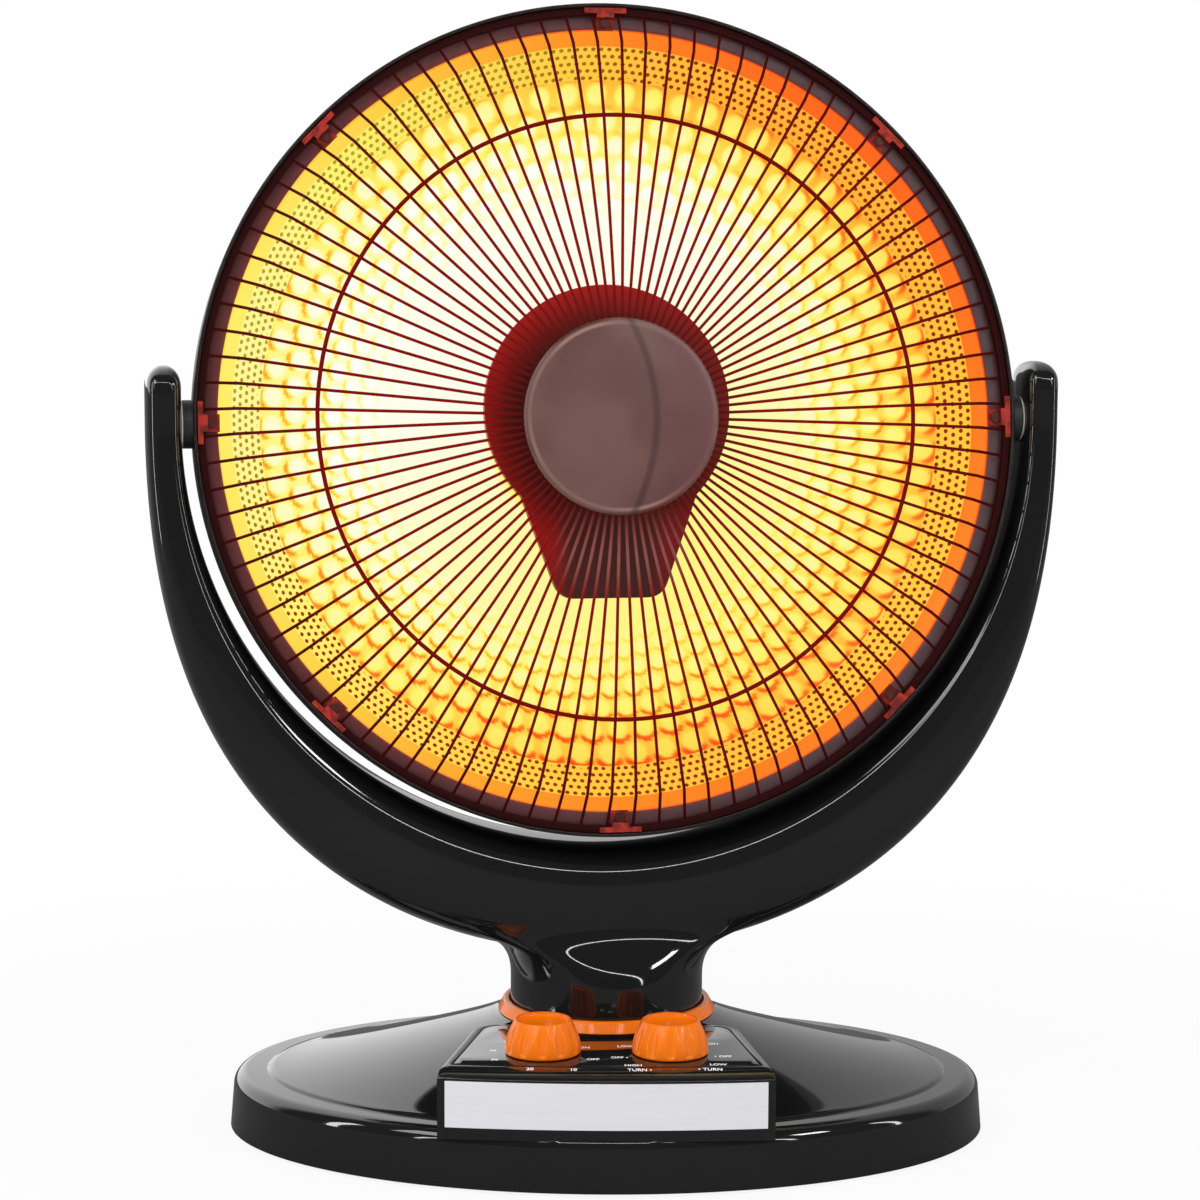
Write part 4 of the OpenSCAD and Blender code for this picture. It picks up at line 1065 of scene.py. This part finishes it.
# %% A tree that lays cups round the bowl
class Tree:
    """A Geometry Nodes tree with named inputs."""

    def __init__(self, name):
        self.group = bpy.data.node_groups.new(name, "GeometryNodeTree")
        self.group.interface.new_socket("Geometry", in_out="OUTPUT", socket_type="NodeSocketGeometry")
        self.named = {}

    def size(self, name, value, kind="NodeSocketFloat"):
        socket = self.group.interface.new_socket(name, in_out="INPUT", socket_type=kind)
        socket.default_value = value
        self.named[name] = socket.identifier
        return name

    def inputs(self):
        made = self.group.nodes.new("NodeGroupInput")
        return {s.name: Term(self.group, s) for s in made.outputs if s.name}

    def add(self, kind, settings=None, values=None, output=0):
        return node(self.group, kind, settings, values, output)

    def finish(self, geometry, material):
        real = self.add("GeometryNodeRealizeInstances", None, {0: geometry})
        painted = self.add("GeometryNodeSetMaterial", None, {"Geometry": real, "Material": material})
        self.add("NodeGroupOutput", None, {0: painted})


holes = Tree("hole_rows")
holes.size("Radius", 0.15)
holes.size("Height", 0.0)
holes.size("Count", 288, "NodeSocketInt")
holes.size("Offset", 0.0)
holes.size("Lean", 0.7)
holes.size("Hole radius", 0.0008)
ask = holes.inputs()
circle = holes.add("GeometryNodeMeshCircle", None, {"Vertices": ask["Count"], "Radius": ask["Radius"]})
turn = (holes.add("GeometryNodeInputIndex") + ask["Offset"]) * (2 * math.pi)
turn = turn.math("DIVIDE", ask["Count"])
spot = holes.add("ShaderNodeCombineXYZ", None, {
    "X": turn.math("COSINE") * ask["Radius"], "Y": turn.math("SINE") * ask["Radius"], "Z": ask["Height"]})
placed = holes.add("GeometryNodeSetPosition", None, {"Geometry": circle, "Position": spot})
cup = holes.add("GeometryNodeMeshCone", None, {
    "Vertices": 10, "Radius Top": ask["Hole radius"] * 0.9, "Radius Bottom": ask["Hole radius"],
    "Depth": 0.16 * MM})
facing = holes.add("FunctionNodeEulerToRotation", None, {
    "Euler": holes.add("ShaderNodeCombineXYZ", None, {"X": 0.0, "Y": ask["Lean"] * -1, "Z": turn})})
laid = holes.add("GeometryNodeInstanceOnPoints", None, {"Points": placed, "Instance": cup, "Rotation": facing})
tree = new_finish("hole_painted_glow")
radius, across, up = dish_radius(tree)
# Painted glow: the cups' colour and emission stand for the housing lit by the glow, yellow at the left and
# orange-red at the right.
painted_hole_glow = blend(tree, ease(tree, across - up * 0.7, -190, -60), tone(176, 158, 44), tone(146, 40, 2))
surface(
    tree,
    Base_Color=blend(tree, 0.5 * spots(tree, 500), painted_hole_glow, tone(84, 20, 4)),
    Roughness=0.8,
    Specular_IOR_Level=0.1,
    Emission_Color=painted_hole_glow,
    Emission_Strength=0.5,
)
holes.finish(laid, finishes["hole_painted_glow"])
print("tree inputs", list(holes.named))

# %% [markdown]
# The tree runs once for each row on an empty host, and the rows are joined to one mesh. A row's cups lean by the
# slope of the bowl at its radius. The tree's sizes are in metres, so the dish's matrix goes without its scale.

# %% Lay the five rows
def grow(name, tree, runs, place, body):
    """Runs a tree once for each set of sizes, joins the results and sets them in place."""
    whole = bmesh.new()
    for sizes in runs:
        host = stand("host", bpy.data.meshes.new("host"))
        change = host.modifiers.new("grow", "NODES")
        change.node_group = tree.group
        for key, value in sizes.items():
            change[tree.named[key]] = value
        result = host.evaluated_get(bpy.context.evaluated_depsgraph_get())
        mesh = bpy.data.meshes.new_from_object(result)
        material = next(m for m in mesh.materials if m)
        whole.from_mesh(mesh)
        bpy.data.objects.remove(host)
        bpy.data.meshes.remove(mesh)
    for face in whole.faces:
        face.material_index = 0
    mesh = bpy.data.meshes.new(name)
    whole.to_mesh(mesh)
    whole.free()
    mesh.transform(place)
    mesh.materials.append(material)
    made = stand(name, mesh)
    smooth(mesh, 40)
    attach(made, body)
    return made


rows_of_holes = []
for i, r in enumerate((149.6, 152.3, 155.0, 157.7, 160.3)):
    slope = math.atan(2 * mirror_depth * r / mirror_r**2)
    rows_of_holes.append({
        "Radius": r * MM, "Height": (mirror_z(r) + 0.1) * MM, "Offset": 0.5 * (i % 2), "Lean": slope,
        "Hole radius": 1 * MM})
upright = on_dish @ Matrix.Scale(1 / MM, 4)
cups = grow("cooling_holes", holes, rows_of_holes, upright, "head")
print("cooling holes:", len(cups.data.polygons), "faces")

# %% [markdown]
# The rim and the cap are turned again with finer steps, because light runs along their edges. The other solids of
# the head, such as wires, clips and screws, are small enough in the picture to stay as they are.

# %% Rim and cap
rim_out, rim_in, skirt_z = 178, 176.4, -9
rim = [(rim_out, skirt_z), (rim_out, 9.0)] + arc((177.4, 9.6), 0.6, 0, 90, 5) + arc((176.9, 9.7), 0.5, 90, 180, 4)
rim += [(rim_in, 6.6), (175.8, 6.0), (168.4, 6.0)] + arc((168.2, 5.3), 0.7, 90, 180, 5)
rim += [(167.5, 4.6), (rim_in, 4.6), (rim_in, skirt_z)]
turned("rim_ring", rim, on_dish, "head", "rim_paint", ["front_rim"])

cap_z = 30.15
cap = [(0, cap_z), (39.9, cap_z), (40, cap_z - 0.6), (41.2, cap_z - 0.6), (41.5, cap_z - 0.2)]
cap += arc((40.6, cap_z + 1.0), 0.9, 0, 80, 6)
cap += flow([(r, cap_z + rise) for r, rise in ((39.2, 2.0), (36.5, 2.3), (29, 2.9), (14.5, 3.4), (0, 3.5))], 6)
turned("cap_cover", cap, on_dish, "head", "cap_brown", ["centre_cap"], 60)
print("rim and cap")

# %% [markdown]
# The deep housing behind the dish is turned in the CAD with flat facets, and its satin skin shows them. Its shape
# is right, so the same triangles are taken over, joined at their corners, and shaded smooth up to the real edges.
# The rear cap and the bosses of the tilt pins are treated the same way.

# %% Smooth skins on the turned solids
for node_name in ("rear_housing", "rear_cap", "pivot_pin_left", "pivot_pin_right"):
    source = nodes[node_name].data
    corners = [tuple(vertex.co) for vertex in source.vertices]
    triangles = [tuple(face.vertices) for face in source.polygons]
    slot, as_it_stands = slots[node_name], Matrix.Identity(4)
    taken = piece(node_name + "_skin", corners, triangles, as_it_stands, "head", slot, 24, [node_name])
    print(taken.name, len(taken.data.polygons), "faces")

# %% [markdown]
# ## Marks on the panel
# The panel carries plain words and numbers round its knobs: ON and OFF, minutes, and heat settings. Each is a text
# object, narrowed a little and turned into a mesh. Its points are then laid on the panel or, for the front row, on
# the rolled brow in front of it.

# %% Panel marks
tree = new_finish("print_white")
worn = spots(tree, 700)
# The print is white, and it also glows faintly by emission, a painted light that keeps it bright.
print_with_painted_glow = blend(tree, worn, tone(236, 236, 238), tone(246, 246, 248))
surface(tree, Base_Color=print_with_painted_glow, Roughness=0.5 + 0.2 * worn, Emission_Color=print_with_painted_glow, Emission_Strength=0.35)


def front_edge(x, inset):
    return front_bow - front_y - math.sqrt((front_bow - inset) ** 2 - x * x)


letter_h, narrowed, ink = 3.9, 0.78, 0.02


def word(name, text, x, y):
    curve = bpy.data.curves.new(name, "FONT")
    curve.body, curve.size, curve.extrude, curve.offset = text, letter_h, ink, 0.05
    curve.align_x, curve.align_y, curve.resolution_u = "CENTER", "CENTER", 3
    host = stand("host", curve)
    mesh = bpy.data.meshes.new_from_object(host.evaluated_get(bpy.context.evaluated_depsgraph_get()))
    bpy.data.objects.remove(host)
    for point in mesh.vertices:
        spot = Vector((x + narrowed * point.co.x, y + point.co.y, 0))
        ground = panel_top if spot.y > front_edge(spot.x, 10.9) else brow(spot.x, spot.y)
        point.co = spot + Vector((0, 0, ground + ink + point.co.z))
    mesh.transform(on_base)
    mesh.materials.clear()
    mesh.materials.append(finishes["print_white"])
    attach(stand(name, mesh), "base")


marks = [
    ("mark_on", "ON", -9.3, -64.1), ("mark_off", "OFF", -5.6, -82.6), ("mark_10", "10", -13.6, -97.4),
    ("mark_20", "20", -31.4, -96.6), ("mark_30", "30", -46.4, -83.6), ("mark_40", "40", -47.4, -69.6),
    ("mark_50", "50", -41.8, -55.4), ("mark_60", "60", -27.3, -50.6),
    ("mark_off_left", "OFF •", 5.4, -79.6), ("mark_off_right", "• OFF", 48.4, -77.2),
    ("mark_low", "LOW", 8.0, -61.9), ("mark_high", "HIGH", 43.6, -57.2),
    ("mark_high_left", "HIGH", 11.0, -91.6), ("mark_high_turn", "TURN •", 13.6, -97.4),
    ("mark_low_right", "LOW", 46.0, -89.8), ("mark_low_turn", "• TURN", 42.6, -95.9),
]
for mark in marks:
    word(*mark)
print(len(marks), "words and numbers")

# %% [markdown]
# ## Floor and light
# The heater stands on a white floor in a white room. The floor is plain white paint, but dimmer in gloss, so that
# the black base stays black. For the camera a large share of it is always white, and all of it farther out, so
# only a trace of the object's shadow stays on it. A Light Path node tells the kinds of ray apart.

# %% Floor
camera_kind, glossy_kind, through_kind = 0, 3, 6  # outputs of the Light Path node


def is_ray(tree, kind):
    return node(tree, "ShaderNodeLightPath", None, None, kind)


tree = new_finish("floor_white")
white = blend(tree, spots(tree, 3), tone(238, 238, 238), tone(242, 242, 242))
dimmed = blend(tree, 0.8 * is_ray(tree, glossy_kind), white, tone(0, 0, 0))
paint = node(tree, "ShaderNodeBsdfDiffuse", None, {"Color": dimmed})
bright = node(tree, "ShaderNodeEmission", None, {"Color": (1, 1, 1, 1), "Strength": 1.0})
away = node(tree, "ShaderNodeVectorMath", {"operation": "LENGTH"}, {0: object_place(tree)}, 1)
seen = is_ray(tree, camera_kind) * ease(tree, away, 0.24, 0.7, 0.9, 1.0)
mixed = node(tree, "ShaderNodeMixShader", None, {0: seen, 1: paint, 2: bright})
node(tree, "ShaderNodeOutputMaterial", None, {"Surface": mixed})
reach = 8
mesh = bpy.data.meshes.new("floor")
mesh.from_pydata([(x * reach, y * reach, 0) for x, y in ((-1, -1), (1, -1), (1, 1), (-1, 1))], [], [(0, 1, 2, 3)])
mesh.materials.append(finishes["floor_white"])
floor = stand("floor", mesh)
print("floor", 2 * reach, "m square")

# %% [markdown]
# The camera sees a white world. A glossy surface sees it bright towards the back, brightest at the left, and dark
# towards the front, which keeps black gloss black. Only a thin hoop of light shines there, and it draws the long
# fine highlights on the yoke. Every other ray finds the plain even light that fills the shadows.

# %% The room
world = bpy.data.worlds.new("white_room")
bpy.context.scene.world = world
world.use_nodes = True
tree = world.node_tree
tree.nodes.clear()
view = node(tree, "ShaderNodeTexCoord", output=0)
aside, toward, above = (axis(tree, view, index) for index in range(3))
behind = 0.08 + ease(tree, toward, 0.05, 0.3) * ease(tree, aside, -0.36, 0.16, 1.5, 0.42)
hoop = ease(tree, (toward + 0.75).math("ABSOLUTE"), 0.007, 0.012, 1.0, 0.0) * ease(tree, above, 0.0, 0.15)
camera_ray, glossy_ray, through_ray = (is_ray(tree, kind) for kind in (camera_kind, glossy_kind, through_kind))
plain = 1 - camera_ray.math("MAXIMUM", glossy_ray).math("MAXIMUM", through_ray)
level = camera_ray.math("MAXIMUM", through_ray) + glossy_ray * (behind + 13 * hoop) + plain * 0.72
sky = node(tree, "ShaderNodeBackground", None, {"Color": (1, 1, 1, 1), "Strength": level})
node(tree, "ShaderNodeOutputWorld", None, {"Surface": sky})
print("white room")

# %% [markdown]
# Four area lamps complete the studio: a large soft one high at the left, a small one at the right, and two upright
# strips whose reflections edge the arms.

# %% Lamps
def lamp(name, place, target, size, power_watts, tall=None):
    data = bpy.data.lights.new(name, "AREA")
    data.energy, data.size = power_watts, size
    if tall:
        data.shape, data.size_y = "RECTANGLE", tall
    made = stand(name, data)
    made.location = place
    made.rotation_euler = (Vector(target) - Vector(place)).to_track_quat("-Z", "Y").to_euler()


lamp("key_softbox", (-1.3, -1.5, 2.0), (0, 0, 0.25), 1.1, 16)
lamp("fill_softbox", (1.5, -1.2, 1.3), (0, 0, 0.25), 0.32, 6)
lamp("left_strip", (-1.45, -0.6, 0.5), (0, 0, 0.3), 0.12, 4.5, 1.2)
lamp("right_strip", (1.5, -0.4, 0.5), (0, 0, 0.3), 0.06, 2.5, 1.2)
print("four lamps")
